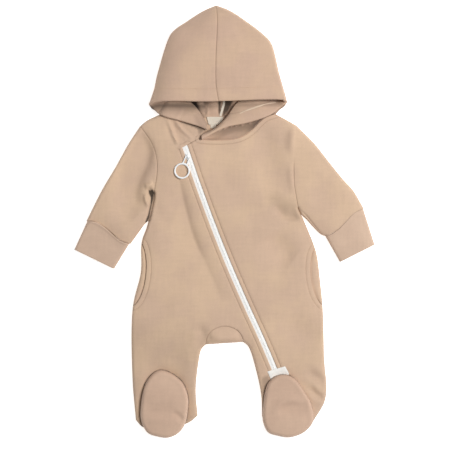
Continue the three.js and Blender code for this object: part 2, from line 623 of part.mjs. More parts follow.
// The slider rides on the teeth: a shield with a channel through it and an arch for the pull.
function sliderPiece() {
  const base = tapeLevel(SLIDER.x, SLIDER.y) + 0.25;
  const shield = new THREE.Shape([
    [-4.8, -2.2], [-3.2, -3.2], [1.6, -3.4], [4.4, -2.8], [5, -1.4], [5, 1.4], [4.4, 2.8], [1.6, 3.4], [-3.2, 3.2], [-4.8, 2.2],
  ].map(([x, y]) => new THREE.Vector2(x, y)));
  const plate = new THREE.ExtrudeGeometry(shield, { depth: 2.6, bevelEnabled: true, bevelThickness: 0.5, bevelSize: 0.5, bevelSegments: 1 });
  const at = (geometry, z) => place(geometry, zipAngle, SLIDER.x, SLIDER.y, base + z);
  const body = at(plate.translate(0, 0, 0.6), 0);
  const channel = at(bar(20, 4.4, 1.5).translate(0, 0, 0.75), 0);
  const post = (x) => at(bar(1.2, 1.4, 3.2).translate(x, 0, 4.8), 0);
  const top = at(bar(5.8, 1.4, 1).translate(0, 0, 6.8), 0);
  return union([body, post(-2.3), post(2.3), top]).subtract(channel);
}

// The pull: a pin through the slider's arch, two arms and a large ring.
const PULL_ANGLE = Math.atan2(80.6 - SLIDER.y, -68 - SLIDER.x);
const RING_RADIUS = 11.35;
const RING_WIRE = 1.45;
const RING_REACH = 23.9;
const PIN_HEIGHT = 5.1;
const PULL_DROP = 0.01;

function pullPiece() {
  const pin = new THREE.CylinderGeometry(0.65, 0.65, 6.6, 12);
  const ring = new THREE.TorusGeometry(RING_RADIUS, RING_WIRE, 8, 24).translate(RING_REACH, 0, 0);
  const arm = (y) => bar(13, 1.3, 1.3).translate(6.5, y, 0);
  const bridge = bar(2.2, 7.9, 2).translate(RING_REACH - RING_RADIUS, 0, 0);
  const base = tapeLevel(SLIDER.x, SLIDER.y) + 0.25 + PIN_HEIGHT;
  return union([pin, ring, arm(-3.3), arm(3.3), bridge].map((geometry) => solidOf(
    geometry.rotateY(PULL_DROP).rotateZ(PULL_ANGLE).translate(SLIDER.x, SLIDER.y, base),
  )));
}

// ---------------------------------------------------------------- labels
const zipLabelOutline = [...corner(68.6, -240), ...corner(96.8, -231.7), ...corner(102.9, -243), ...corner(101, -252), ...corner(74, -252)];
function zipLabelPiece() {
  const above = (x, y) => frontTop(x, y) + 0.4 + LABEL;
  const cloth = laidCloth(above, boxAround(zipLabelOutline, 6), 6, LABEL);
  return biggest(cloth.intersect(cutter(zipLabelOutline)).subtract(footBlock("left", SEAM)));
}

const neckLabel = solidOf(bar(27, 16, LABEL).translate(-13.5, 158.6, CLOTH + 0.4 + LABEL / 2));

// ---------------------------------------------------------------- the whole garment
const garment = new THREE.Group();
garment.name = "baby_overalls";
const fronts = frontPieces();
const hoods = hoodPieces();
const pieces = {
  front_right: [fronts.right, fleece],
  front_left: [fronts.left, fleece],
  back: [backPiece(), fleece],
  gusset: [gussetPiece(), fleece],
  pocket_right: [pocketPiece("right"), fleece],
  pocket_left: [pocketPiece("left"), fleece],
  sleeve_right: [sleevePiece("right"), fleece],
  sleeve_left: [sleevePiece("left"), fleece],
  cuff_right: [cuffPiece("right"), ribbed],
  cuff_left: [cuffPiece("left"), ribbed],
  foot_top_right: [footTopPiece("right"), ribbed],
  foot_top_left: [footTopPiece("left"), ribbed],
  sole_right: [solePiece("right"), ribbed],
  sole_left: [solePiece("left"), ribbed],
  hood_right: [hoods.right, fleece],
  hood_left: [hoods.left, fleece],
  zip_tape_right: [tapePiece("right"), whiteTape],
  zip_tape_left: [tapePiece("left"), whiteTape],
  zip_slider: [sliderPiece(), whiteEnamel],
  zip_pull: [pullPiece(), whiteEnamel],
  neck_label: [neckLabel, labelCloth],
  zip_label: [zipLabelPiece(), labelCloth],
};
for (const [name, [solid, finish]] of Object.entries(pieces)) garment.add(meshOf(name, solid, finish));

export default garment;
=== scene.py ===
import math

import bpy
import numpy as np
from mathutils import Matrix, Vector, geometry


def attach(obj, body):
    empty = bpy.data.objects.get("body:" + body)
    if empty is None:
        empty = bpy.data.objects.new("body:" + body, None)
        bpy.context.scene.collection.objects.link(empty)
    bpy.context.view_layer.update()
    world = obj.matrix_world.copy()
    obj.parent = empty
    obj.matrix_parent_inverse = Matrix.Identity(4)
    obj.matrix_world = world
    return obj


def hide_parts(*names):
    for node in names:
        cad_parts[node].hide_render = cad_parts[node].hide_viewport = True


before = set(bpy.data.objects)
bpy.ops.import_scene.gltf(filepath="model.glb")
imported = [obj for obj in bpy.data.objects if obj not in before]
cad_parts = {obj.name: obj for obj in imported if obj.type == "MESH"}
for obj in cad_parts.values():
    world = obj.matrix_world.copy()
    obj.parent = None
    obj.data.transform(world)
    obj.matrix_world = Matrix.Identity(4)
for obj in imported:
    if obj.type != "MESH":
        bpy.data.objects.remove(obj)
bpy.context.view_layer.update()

# ======================================================================== camera, table and light
# The camera hangs over the middle of the garment and looks straight down. The table is plain white
# board, and the light is a white room with one large soft window near the hood.
MM = 0.001
VIEW_WIDTH = 720 * MM
LENS = 180
SENSOR = 36
GARMENT_MIDDLE = (0.8 * MM, -5.6 * MM)
GARMENT_MIDDLE_HEIGHT = 12 * MM

camera_data = bpy.data.cameras.new("overhead_camera")
camera_data.lens = LENS
camera_data.sensor_width = SENSOR
camera_data.clip_end = 100
camera = bpy.data.objects.new("overhead_camera", camera_data)
camera.location = (*GARMENT_MIDDLE, VIEW_WIDTH * LENS / SENSOR + GARMENT_MIDDLE_HEIGHT)
bpy.context.scene.collection.objects.link(camera)
bpy.context.scene.camera = camera
bpy.context.scene.view_settings.view_transform = "Standard"


class Value:
    """A socket of a material, so that sums on it are written as sums and add their own Math nodes."""

    def __init__(self, finish, socket):
        self.finish = finish
        self.socket = socket

    def sum(self, operation, first, second):
        return self.finish.node("ShaderNodeMath", {"operation": operation}, {0: first, 1: second})

    def __add__(self, other):
        return self.sum("ADD", self, other)

    def __sub__(self, other):
        return self.sum("SUBTRACT", self, other)

    def __rsub__(self, other):
        return self.sum("SUBTRACT", other, self)

    def __mul__(self, other):
        return self.sum("MULTIPLY", self, other)

    def fade(self, start, end):
        """0 before the start and 1 after the end, smooth between them; the other way where end is less."""
        low, high = min(start, end), max(start, end)
        rising = self.finish.node(
            "ShaderNodeMapRange", {"interpolation_type": "SMOOTHSTEP"}, {0: self, 1: low, 2: high}
        )
        return rising if end > start else 1 - rising

    __radd__ = __add__
    __rmul__ = __mul__


class Finish:
    """A material in the making. node() adds any node from its type, settings and inputs."""

    def __init__(self, name):
        self.material = bpy.data.materials.new(name)
        self.material.use_nodes = True
        self.tree = self.material.node_tree
        self.tree.nodes.clear()

    def node(self, kind, settings=None, inputs=None, output=0):
        made = self.tree.nodes.new(kind)
        for name, setting in (settings or {}).items():
            setattr(made, name, setting)
        for key, value in (inputs or {}).items():
            if isinstance(value, Value):
                self.tree.links.new(value.socket, made.inputs[key])
            else:
                made.inputs[key].default_value = value
        return Value(self, made.outputs[output]) if made.outputs else None

    def place(self, stretch=(1, 1, 1), turn=0):
        """The place on the object, stretched and turned about Z for a pattern."""
        spot = self.node("ShaderNodeTexCoord", output="Object")
        inputs = {"Vector": spot, "Scale": stretch, "Rotation": (0, 0, turn)}
        return self.node("ShaderNodeMapping", inputs=inputs)

    def noise(self, scale, detail=2.0, stretch=(1, 1, 1), turn=0):
        inputs = {"Vector": self.place(stretch, turn), "Scale": scale, "Detail": detail}
        return self.node("ShaderNodeTexNoise", inputs=inputs)

    def mix(self, share, first, second, blend="MIX"):
        settings = {"data_type": "RGBA", "blend_type": blend}
        return self.node("ShaderNodeMix", settings, {0: share, 6: first, 7: second}, output=2)

    def darken(self, colour, share):
        """The colour times a grey that is 1 - share."""
        light = 1 - share
        grey = self.node("ShaderNodeCombineColor", inputs={0: light, 1: light, 2: light})
        return self.mix(1.0, colour, grey, "MULTIPLY")

    def attribute(self, name):
        return self.node("ShaderNodeAttribute", {"attribute_name": name}, output="Fac")

    def surface(self, inputs, height=None, depth=1.0):
        """Closes the material with a Principled shader, bumped by a height in metres."""
        if height is not None:
            bump = {"Height": height, "Strength": 1.0, "Distance": depth}
            inputs = {**inputs, "Normal": self.node("ShaderNodeBump", inputs=bump)}
        shader = self.node("ShaderNodeBsdfPrincipled", inputs=inputs)
        self.node("ShaderNodeOutputMaterial", inputs={"Surface": shader})
        return self.material


def colour(red, green, blue):
    """An sRGB colour from 0 to 255 as linear light, with alpha."""
    parts = [c / 255 for c in (red, green, blue)]
    return (*[c / 12.92 if c <= 0.04045 else ((c + 0.055) / 1.055) ** 2.4 for c in parts], 1.0)


board = Finish("white_board")
board_tone = board.mix(board.noise(6, 3), colour(250, 250, 250), colour(244, 245, 246))
board.surface({
    "Base Color": board_tone, "Roughness": 0.8, "Emission Color": (1, 1, 1, 1), "Emission Strength": 0.7,
})
TABLE_HALF = 4.0
TABLE_LEVEL = -0.4 * MM
table_mesh = bpy.data.meshes.new("table")
table_corners = [
    (x * TABLE_HALF, y * TABLE_HALF, TABLE_LEVEL) for x, y in ((-1, -1), (1, -1), (1, 1), (-1, 1))
]
table_mesh.from_pydata(table_corners, [], [(0, 1, 2, 3)])
table_mesh.materials.append(board.material)
table = bpy.data.objects.new("table", table_mesh)
bpy.context.scene.collection.objects.link(table)

WINDOW_PLACE = Vector((1.6, 0.5, 3.0))
window_data = bpy.data.lights.new("window", "AREA")
window_data.shape = "DISK"
window_data.size = 1.3
window_data.energy = 98
window = bpy.data.objects.new("window", window_data)
window.location = WINDOW_PLACE
window.rotation_euler = (-WINDOW_PLACE).to_track_quat("-Z", "Y").to_euler()
bpy.context.scene.collection.objects.link(window)

room = bpy.data.worlds.new("white_room")
room.use_nodes = True
room.node_tree.nodes["Background"].inputs["Color"].default_value = (0.95, 0.98, 1, 1)
room.node_tree.nodes["Background"].inputs["Strength"].default_value = 0.28
bpy.context.scene.world = room

# ======================================================================== back
# The back is one piece of beige brushed sweatshirt fleece from the neck to the heels. It lies flat on
# the table and turns up at its edges, where it is sewn to the fronts, sleeves, gusset and soles.
CLOTH = 2.0
FOLD_LEVEL = 6.45  # where front and back meet at the side seams
FRONT_LOFT = 14.0  # top of the front where it lies over trapped air
EDGE_NOSE = 5.0  # radius of the turn at the side seams
NOSE_RISE = 4.8
FRONT_ROLL = 22.0  # how far in the front reaches its loft
BACK_ROLL = 15.0
SEAM_ROLL = 3.4  # how far from a seam the cloth begins to dip into it
SEAM_DIP = 0.9
LINE_STEP = 2.3  # spacing of the points along a cut edge


def smooth_line(points, steps=16):
    """A centripetal Catmull-Rom curve: each span is a cubic whose end tangents weigh the neighbouring chords
    by the square roots of their lengths."""
    p = np.asarray(points, float)
    ends = np.vstack([2 * p[0] - p[1], p, 2 * p[-1] - p[-2]])
    chord = np.sqrt(np.linalg.norm(np.diff(ends, axis=0), axis=1))[:, None]
    before, here, after = chord[:-2], chord[1:-1], chord[2:]
    a, b, c, d = ends[:-3], ends[1:-2], ends[2:-1], ends[3:]
    leave = ((b - a) / before - (c - a) / (before + here) + (c - b) / here) * here
    arrive = ((c - b) / here - (d - b) / (here + after) + (d - c) / after) * here
    t = np.linspace(0, 1, steps, endpoint=False)[:, None, None]
    bend = (3 * (c - b) - 2 * leave - arrive) * t**2 + (2 * (b - c) + leave + arrive) * t**3
    spans = b + leave * t + bend
    return np.vstack([spans.transpose(1, 0, 2).reshape(-1, p.shape[1]), p[-1:]])


def run_of(line):
    """The distance along a line at each of its points."""
    return np.append(0, np.cumsum(np.linalg.norm(np.diff(line, axis=0), axis=1)))


def along(line, shares):
    """Points at the given shares of a line's length, straight between its own points."""
    run = run_of(line)
    return np.column_stack([np.interp(np.asarray(shares) * run[-1], run, part) for part in line.T])


def evenly(line, step=LINE_STEP):
    """The line again with its points a step apart."""
    count = max(2, round(run_of(line)[-1] / step) + 1)
    return along(line, np.linspace(0, 1, count))


def outline_of(*lines):
    """Lines end to end as one closed outline, without double points."""
    points = np.vstack([np.atleast_2d(line) for line in lines])
    gap = np.linalg.norm(points - np.roll(points, 1, axis=0), axis=1)
    return points[gap > 1e-4]


def closed_spline(points):
    """A closed smooth line through points: an open one with three points repeated at either end, of which
    one whole round is kept."""
    steps = 16
    round_twice = smooth_line([*points[-3:], *points, *points[:4]], steps)
    return evenly(round_twice[3 * steps : (3 + len(points)) * steps + 1])[:-1]


def oval(middle, width, length, tilt, grow=0.0):
    """An ellipse round a middle, tilted, and grown outwards by a distance."""
    count = round(math.pi * (width + length) / 2 / LINE_STEP)
    angle = np.linspace(0, 2 * math.pi, count, endpoint=False)
    across = (width / 2 + grow) * np.cos(angle)
    up = (length / 2 + grow) * np.sin(angle)
    turned = [across * math.cos(tilt) - up * math.sin(tilt), across * math.sin(tilt) + up * math.cos(tilt)]
    return np.column_stack(turned) + middle


def spline(points):
    return evenly(smooth_line(points))


SIDE_SEAM = {
    "right": spline([(-113, 45), (-115.2, 34), (-117.6, 22), (-119.9, 11), (-121.8, 1), (-125.5, -12),
                     (-131.5, -28), (-133.5, -40), (-134, -80), (-147, -138), (-147.5, -250), (-142, -318)]),
    "left": spline([(118, 21), (133, -12), (147, -50), (153, -94), (157.5, -140), (160, -222), (163.5, -268),
                    (160, -290), (143, -319)]),
}
INNER_LEG = {
    "right": spline([(-30, -197), (-37, -205), (-42, -228), (-46, -270), (-43, -311)]),
    "left": spline([(30, -193), (38, -200), (50, -236), (59, -280), (60, -312)]),
}
HEEL = {
    "right": spline([(-43, -311), (-55, -321), (-92, -333), (-130, -330), (-142, -318)]),
    "left": spline([(60, -312), (78, -333), (102, -338), (128, -335), (143, -319)]),
}
ARMHOLE = {
    "right": spline([(-135, 153), (-116, 124), (-108.5, 100), (-108, 78), (-113, 45)]),
    "left": spline([(115, 154), (111.5, 110), (112, 60), (118, 21)]),
}
SHOULDER = {
    "right": spline([(-104, 171), (-122, 163), (-135, 153)]),
    "left": spline([(82, 172), (98, 163.5), (115, 154)]),
}
SLEEVE_TOP = {
    "right": spline([(-135, 153), (-154, 124), (-174, 88), (-197, 49), (-221, 1)]),
    "left": spline([(115, 154), (144, 125), (167, 96), (190.5, 67), (206, 50), (223, 21)]),
}
SLEEVE_UNDER = {
    "right": spline([(-113, 45), (-115.2, 34), (-117.6, 22), (-119.9, 11), (-122.2, 1.5), (-127.5, -4),
                     (-134, -13), (-150.5, -36)]),
    "left": spline([(118, 21), (122, 12), (131, 3.5), (139, -5.5), (147, -14), (155, -21), (160, -23)]),
}
CUFF_SEAM = {
    "right": spline([(-221, 1), (-209, 0), (-193, -8), (-180, -19), (-165, -31), (-150.5, -36)]),
    "left": spline([(223, 21), (208, 14), (194, 0), (182, -12), (168, -21), (160, -23)]),
}
BACK_NECK = spline([(-104, 171), (-60, 168), (-13.5, 167), (40, 168), (82, 172)])
CROTCH = np.array([INNER_LEG["right"][0], INNER_LEG["left"][0]])

FOOT = {
    "right": [(-103, -237.5), (-90, -240.5), (-77, -248), (-67, -257.5), (-60.5, -271), (-57.5, -286),
              (-58.5, -303), (-61.5, -320), (-68, -333), (-77, -341.5), (-91, -346.5), (-108, -344.5),
              (-122, -339.5), (-130, -329), (-134.5, -313), (-134, -295), (-132, -279), (-128, -263.5),
              (-121.6, -250.5), (-113, -241.5)],
    "left": [(92, -244.5), (103, -246), (113, -251.5), (121.5, -261.5), (129.5, -274), (136.5, -286),
             (141, -300), (143, -315), (140, -325), (128, -337.5), (113.5, -344), (101.5, -346),
             (86, -343.5), (70, -338), (62.5, -324), (60.5, -309), (62.5, -289), (65, -271), (69.5, -258),
             (80, -248)],
}
EGG = {side: closed_spline(FOOT[side]) for side in FOOT}
GUSSET = oval((0, -193), 59, 51, 0)

SILHOUETTE = outline_of(
    (-107, 239), (-122, 190), SHOULDER["right"], SLEEVE_TOP["right"], (-229, -18), (-247, -60), (-186, -92),
    (-160, -52), SLEEVE_UNDER["right"][::-1], SIDE_SEAM["right"], HEEL["right"][::-1],
    INNER_LEG["right"][::-1], INNER_LEG["left"], HEEL["left"], SIDE_SEAM["left"][::-1],
    SLEEVE_UNDER["left"], (171, -37), (194, -79),
    (248, -52), (230, 3), SLEEVE_TOP["left"][::-1], SHOULDER["left"][::-1], (99, 190), (86, 239),
)


def depth_in(outline, x, y):
    """Distance to the nearest side of a closed line, positive inside it and negative outside."""
    nearest = np.full(x.shape, 1e9)
    inside = np.zeros(x.shape, bool)
    for (ax, ay), (bx, by) in zip(outline, np.roll(outline, -1, axis=0)):
        dx, dy = bx - ax, by - ay
        t = np.clip(((x - ax) * dx + (y - ay) * dy) / (dx * dx + dy * dy), 0, 1)
        nearest = np.minimum(nearest, (x - ax - t * dx) ** 2 + (y - ay - t * dy) ** 2)
        if ay != by:
            inside ^= ((ay > y) != (by > y)) & (x < ax + (y - ay) * dx / dy)
    return np.where(inside, 1, -1) * np.sqrt(nearest)


def edge_depth(x, y):
    """How far in a place is from the garment's silhouette."""
    return np.maximum.reduce([depth_in(s, x, y) for s in (SILHOUETTE, EGG["right"], EGG["left"])])


def nose(depth, radius):
    """A quarter circle, from 0 with an upright tangent at the edge to 1 at the radius."""
    return np.sqrt(1 - (1 - np.clip(depth / radius, 0, 1)) ** 2)


def rounding(depth, roll):
    """A quarter sine, from 0 at the edge to 1 at the roll's width; it goes on below 0 outside."""
    return np.sin(math.pi / 2 * np.clip(depth / roll, -0.7, 1))


def softened(height, low, high, step=3.0, blur=5.0):
    """A height sampled on a square lattice, blurred by a Gaussian and read back with cubic B-splines."""
    xs = np.arange(low[0], high[0] + step, step)
    ys = np.arange(low[1], high[1] + step, step)
    grid_x, grid_y = np.meshgrid(xs, ys)
    values = height(grid_x.ravel(), grid_y.ravel()).reshape(grid_x.shape)
    reach = int(3 * blur / step)
    kernel = np.exp(-0.5 * (np.arange(-reach, reach + 1) * step / blur) ** 2)
    kernel /= kernel.sum()
    for axis in (0, 1):
        wide = np.pad(values, [(reach, reach) if a == axis else (0, 0) for a in (0, 1)], mode="edge")
        shifts = [np.take(wide, np.arange(i, i + values.shape[axis]), axis) for i in range(len(kernel))]
        values = sum(k * s for k, s in zip(kernel, shifts))

    def weights(t):
        inner = (3 * t**3 - 6 * t**2 + 4) / 6, (3 * t + 3 * t**2 - 3 * t**3 + 1) / 6
        return (1 - t) ** 3 / 6, *inner, t**3 / 6

    def read(x, y):
        i = np.clip(np.floor((x - xs[0]) / step).astype(int), 1, len(xs) - 3)
        j = np.clip(np.floor((y - ys[0]) / step).astype(int), 1, len(ys) - 3)
        across, up = weights((x - xs[0]) / step - i), weights((y - ys[0]) / step - j)
        return sum(up[b] * across[a] * values[j - 1 + b, i - 1 + a] for a in range(4) for b in range(4))

    return read


FIELD_LOW, FIELD_HIGH = (-262, -365), (262, 255)
front_swell = softened(lambda x, y: rounding(edge_depth(x, y), FRONT_ROLL), FIELD_LOW, FIELD_HIGH)
back_swell = softened(lambda x, y: rounding(edge_depth(x, y), BACK_ROLL), FIELD_LOW, FIELD_HIGH, blur=3.0)


def distance_to(line, x, y):
    """Distance to an open line, the side of it (over 0 to the left of its run), and the share of its
    length."""
    nearest = np.full(x.shape, 1e9)
    side = np.zeros(x.shape)
    share = np.zeros(x.shape)
    run = run_of(line)
    for (ax, ay), (bx, by), start, end in zip(line[:-1], line[1:], run[:-1], run[1:]):
        dx, dy = bx - ax, by - ay
        t = np.clip(((x - ax) * dx + (y - ay) * dy) / (dx * dx + dy * dy), 0, 1)
        away = np.hypot(x - ax - t * dx, y - ay - t * dy)
        closer = away < nearest
        nearest = np.where(closer, away, nearest)
        side = np.where(closer, np.sign(dx * (y - ay) - dy * (x - ax)), side)
        share = np.where(closer, (start + t * (end - start)) / run[-1], share)
    return nearest, side, share


def crease(x, y, path, width, height, lean=0.0, banks=0.35, power=2.0):
    """One soft fold along a path: a bell-shaped trough or ridge, wider on the side it leans to and sharper
    at its bottom the lower its power. Lower banks of the other sign lie beside it, and it fades out at
    both ends."""
    line = smooth_line(path, 5)
    away, side, share = distance_to(line, x, y)
    s = away * side / (width * (1 + lean * side))
    ends = rounding(np.minimum(share, 1 - share) * 2, 0.7).clip(0, 1)
    beside_it = np.exp(-(((s - 2) / 0.9) ** 2)) + np.exp(-(((s + 2) / 0.9) ** 2))
    return height * ends * (np.exp(-(np.abs(s) ** power)) - banks * beside_it)


def ripple(x, y, size=1.3):
    """Broad uneven waves that lying cloth has, from two bent sine products."""
    broad = np.sin(x / 23 + 1.3 * np.sin(y / 41) + 0.6) * np.sin(y / 37 + 0.9 * np.sin(x / 29) + 2.1)
    small = np.sin((x + 0.6 * y) / 12.5 + np.sin(y / 19)) * np.sin((y - 0.4 * x) / 17 + 1.2)
    return size * (0.7 * broad + 0.22 * small)


BACK_CREASES = [
    {"path": [(-70, 120), (-52, 40), (-44, -30)], "width": 9, "height": 1.6},
    {"path": [(52, 110), (60, 30), (48, -40)], "width": 10, "height": 1.7},
    {"path": [(-100, -150), (-60, -164), (-34, -190)], "width": 8, "height": 1.8},
    {"path": [(112, -150), (70, -166), (34, -188)], "width": 8, "height": 1.8},
    {"path": [(-128, -228), (-90, -236), (-56, -230)], "width": 7, "height": 1.4},
    {"path": [(150, -232), (110, -240), (66, -232)], "width": 7, "height": 1.4},
]


def back_level(x, y, edge):
    """Underside of the back: on the table inside, rising to the seams, with shallow hollows between."""
    inside = rounding(edge, BACK_ROLL).clip(0, 1)
    rise = (FOLD_LEVEL - 3) * (1 - back_swell(x, y).clip(0, 1)) + 3 * (1 - nose(edge, EDGE_NOSE))
    hollows = sum(crease(x, y, **c) for c in BACK_CREASES) + 0.5 + ripple(x, y, 0.5)
    return np.maximum(rise * np.where(edge < BACK_ROLL + 6, 1, 0) + hollows.clip(0, 9) * inside, 0)


FLAT_SEAMS = [
    smooth_line([(115, 154), (112, 130), (111.5, 98)]),
    smooth_line([(-41.5, 131.2), (-4, 129.4), (30, 136), (56, 158), (82, 172)]),
    smooth_line([(-61, 117), (-21, 2), (4, -62), (61, -190), (77, -229)]),
    smooth_line([(113, -251.5), (129.5, -274), (141, -300), (143, -315)]),
    CUFF_SEAM["left"],
    smooth_line([(-132, -38), (-126.5, -56), (-125, -80), (-128, -105), (-136, -125)]),
    smooth_line([(141, -44), (138, -60), (138, -85), (141, -105), (149, -124)]),
    smooth_line([(-30, -190), (-24, -176), (-10, -169)]),
]


def seam_strength(x, y):
    """1 for a seam pulled in to a groove, and less where it is pressed open and lies flat."""
    return 0.12 + 0.88 * rounding(np.minimum.reduce([distance_to(line, x, y)[0] for line in FLAT_SEAMS]), 14)


RINGS = (0.3, 1.0, 2.1, 3.6, 5.5)


def without_ears(triangles):
    """Triangles less those that hang on by a corner, where two stretches of a piece's edge would touch."""
    while True:
        sides = np.sort(np.vstack([triangles[:, [0, 1]], triangles[:, [1, 2]], triangles[:, [2, 0]]]), axis=1)
        kinds, which, count = np.unique(sides, axis=0, return_inverse=True, return_counts=True)
        pinched = np.bincount(kinds[count == 1].ravel(), minlength=triangles.max() + 1) > 2
        free = (count[which.ravel()] == 1).reshape(3, -1).sum(axis=0)
        ear = pinched[triangles].any(axis=1) & (free >= 2)
        if not ear.any():
            return triangles
        triangles = triangles[~ear]


def cut_piece(curves, keep, spacing=2.8, rings=RINGS):
    """A flat piece as points and triangles: its cut edges, rings of points beside them and a triangular
    lattice in between, joined by Delaunay's rule. keep gives how far inside the piece a place is."""
    edge_points = np.vstack(curves)
    ahead = np.vstack([np.roll(c, -1, axis=0) - np.roll(c, 1, axis=0) for c in curves])
    normal = np.column_stack([-ahead[:, 1], ahead[:, 0]]) / np.linalg.norm(ahead, axis=1)[:, None]
    beside = []
    for ring in rings:
        near = np.vstack([edge_points + normal * ring, edge_points - normal * ring])
        beside.append(near[np.abs(keep(*near.T) - ring) < 0.06 * ring + 0.02])
    low, high = edge_points.min(axis=0), edge_points.max(axis=0)
    rows = np.arange(low[1], high[1], spacing * math.sqrt(0.75))
    columns = np.arange(low[0], high[0], spacing)
    x, y = np.meshgrid(columns, rows)
    x = x + (np.arange(len(rows)) % 2 * spacing / 2)[:, None]
    lattice = np.column_stack([x.ravel(), y.ravel()])
    lattice = lattice[keep(*lattice.T) > rings[-1] + 0.55 * spacing]
    sides, start = [], 0
    for curve in curves:
        here = np.arange(len(curve)) + start
        sides += np.column_stack([here, np.roll(here, -1)]).tolist()
        start += len(curve)
    spots = [Vector(p) for p in np.vstack([edge_points, *beside, lattice]).tolist()]
    found = geometry.delaunay_2d_cdt(spots, sides, [], 0, 1e-3)
    points, triangles = np.array([tuple(p) for p in found[0]]), np.array(found[2])
    triangles = without_ears(triangles[keep(*points[triangles].mean(axis=1).T) > 1e-3])
    a, b, c = (points[triangles[:, k]] for k in range(3))
    twice_area = (b[:, 0] - a[:, 0]) * (c[:, 1] - a[:, 1]) - (b[:, 1] - a[:, 1]) * (c[:, 0] - a[:, 0])
    triangles = np.where(twice_area[:, None] > 0, triangles, triangles[:, ::-1])
    used, again = np.unique(triangles, return_inverse=True)
    return points[used], again.reshape(-1, 3)


def out_from(points, faces):
    """The outward direction at each point: the sum of its faces' normals, made one long."""
    corners = [points[faces[:, k]] for k in range(faces.shape[1])]
    across = corners[2] - corners[0]
    other = corners[-1] - corners[1] if len(corners) == 4 else corners[1] - corners[0]
    normal = np.cross(across, other) if len(corners) == 4 else np.cross(other, across)
    total = np.zeros_like(points)
    for k in range(faces.shape[1]):
        np.add.at(total, faces[:, k], normal)
    return total / np.maximum(np.linalg.norm(total, axis=1), 1e-9)[:, None]


def rim_of(faces, back):
    """The strip between a sheet's cut edge and the same edge of its other face, which comes a number of
    points later."""
    corners = range(faces.shape[1])
    edges = np.vstack([np.column_stack([faces[:, k], np.roll(faces, -1, axis=1)[:, k]]) for k in corners])
    code = edges[:, 0] * (back + 1) + edges[:, 1]
    mirror = edges[:, 1] * (back + 1) + edges[:, 0]
    a, b = edges[~np.isin(code, mirror)].T
    return np.column_stack([b, a, a + back, b + back])


def make_piece(name, points, faces, finish, marks=None, sharp=55):
    """A mesh object in metres from points in millimetres, smooth but for edges sharper than an angle."""
    mesh = bpy.data.meshes.new(name)
    mesh.from_pydata((np.asarray(points) * MM).tolist(), [], faces)
    mesh.shade_smooth()
    mesh.set_sharp_from_angle(angle=math.radians(sharp))
    for mark, values in (marks or {}).items():
        mesh.attributes.new(mark, "FLOAT", "POINT").data.foreach_set("value", np.asarray(values, np.float32))
    mesh.materials.append(finish)
    piece = bpy.data.objects.new(name, mesh)
    bpy.context.scene.collection.objects.link(piece)
    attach(piece, "garment")
    return piece


def closeness(distance, reach=10.0):
    """1 at a line, falling evenly to 0 at the reach, so that 0 everywhere means no line."""
    return (1 - distance / reach).clip(0, 1)


def wall(name, outer, inner, faces, finish, marks=None):
    """A cloth wall: its outer face, its inner face turned round, and the strip between their edges."""
    count = len(outer)
    both = faces.tolist() + (faces[:, ::-1] + count).tolist() + rim_of(faces, count).tolist()
    marks = {key: np.append(values, values * 0) for key, values in (marks or {}).items()}
    return make_piece(name, np.vstack([outer, inner]), both, finish, marks)


def lay_piece(name, curves, keep, level, finish, up=1, thickness=CLOTH, stitched=None, spacing=2.8,
              rings=RINGS):
    """A cut piece laid over a height. Its outer face dips into its seams, and its wall thins towards the
    silhouette, where front and back are sewn edge to edge."""
    spots, triangles = cut_piece(curves, keep, spacing, rings)
    x, y = spots.T
    inset, from_edge = keep(x, y).clip(0), edge_depth(x, y).clip(0)
    base = np.column_stack([x, y, level(x, y, from_edge)])
    faces = triangles if up > 0 else triangles[:, ::-1]
    wall_here = thickness * (0.25 + 0.75 * nose(from_edge, 3))
    inner = base - out_from(base, faces) * wall_here[:, None]
    outer = base.copy()
    strength = seam_strength(x, y)
    outer[:, 2] -= up * SEAM_DIP * strength * (1 - nose(inset, SEAM_ROLL)) * nose(from_edge, EDGE_NOSE)
    # The seam mark also sets how much painted shade the fleece has along the seam.
    marks = {"near_seam": closeness(inset + 1.4 * (1 - strength))}
    if stitched:
        marks["near_stitch"] = closeness(stitched(x, y))
    return wall(name, outer, inner, faces, finish, marks)


def fleece(name, light, shade):
    """Brushed sweatshirt fleece: two near tones in soft patches, a fine melange along the knit, painted shade
    in the seams, along the stitching and in marked hollows, with the knit's rows and the short pile raised."""
    cloth = Finish(name)
    tone = cloth.mix(cloth.noise(21, 3).fade(0.35, 0.65), light, shade)
    melange = cloth.noise(1500, 2, (1, 0.3, 1))
    speck = cloth.noise(3200, 1)
    bars = cloth.noise(260, 2, (0.16, 1, 1)) + cloth.noise(240, 2, (1, 0.14, 1)) - 1
    tone = cloth.darken(tone, (melange - 0.5) * 0.16 + (speck - 0.5) * 0.12 + bars * 0.09)
    # Painted shade: the cloth is darkened along its seams and stitch lines, where shade falls in the grooves.
    seam = (1 - cloth.attribute("near_seam")) * 10
    stitch = (1 - cloth.attribute("near_stitch")) * 10
    tone = cloth.darken(tone, seam.fade(1.3, 0.1) * 0.17 + stitch.fade(0.8, 0.2) * 0.06)
    # Painted shade: the cloth is darkened by the share each piece marks for its hollows, armpits, hood
    # opening and legs.
    tone = cloth.darken(tone, cloth.attribute("painted_shade_share"))
    rows = cloth.node(
        "ShaderNodeTexWave", {"wave_type": "BANDS", "bands_direction": "X"},
        {"Vector": cloth.place(), "Scale": 240, "Distortion": 1.5, "Detail": 1, "Detail Scale": 2},
    )
    height = rows * 0.05 + melange * 0.16 + speck * 0.1 - stitch.fade(1.3, 0.0) * 0.5
    inputs = {"Base Color": tone, "Roughness": 0.96, "Specular IOR Level": 0.2}
    inputs |= {"Sheen Weight": 0.12, "Sheen Roughness": 0.5, "Sheen Tint": (0.95, 0.95, 1.0, 1)}
    return cloth.surface(inputs, height, MM)


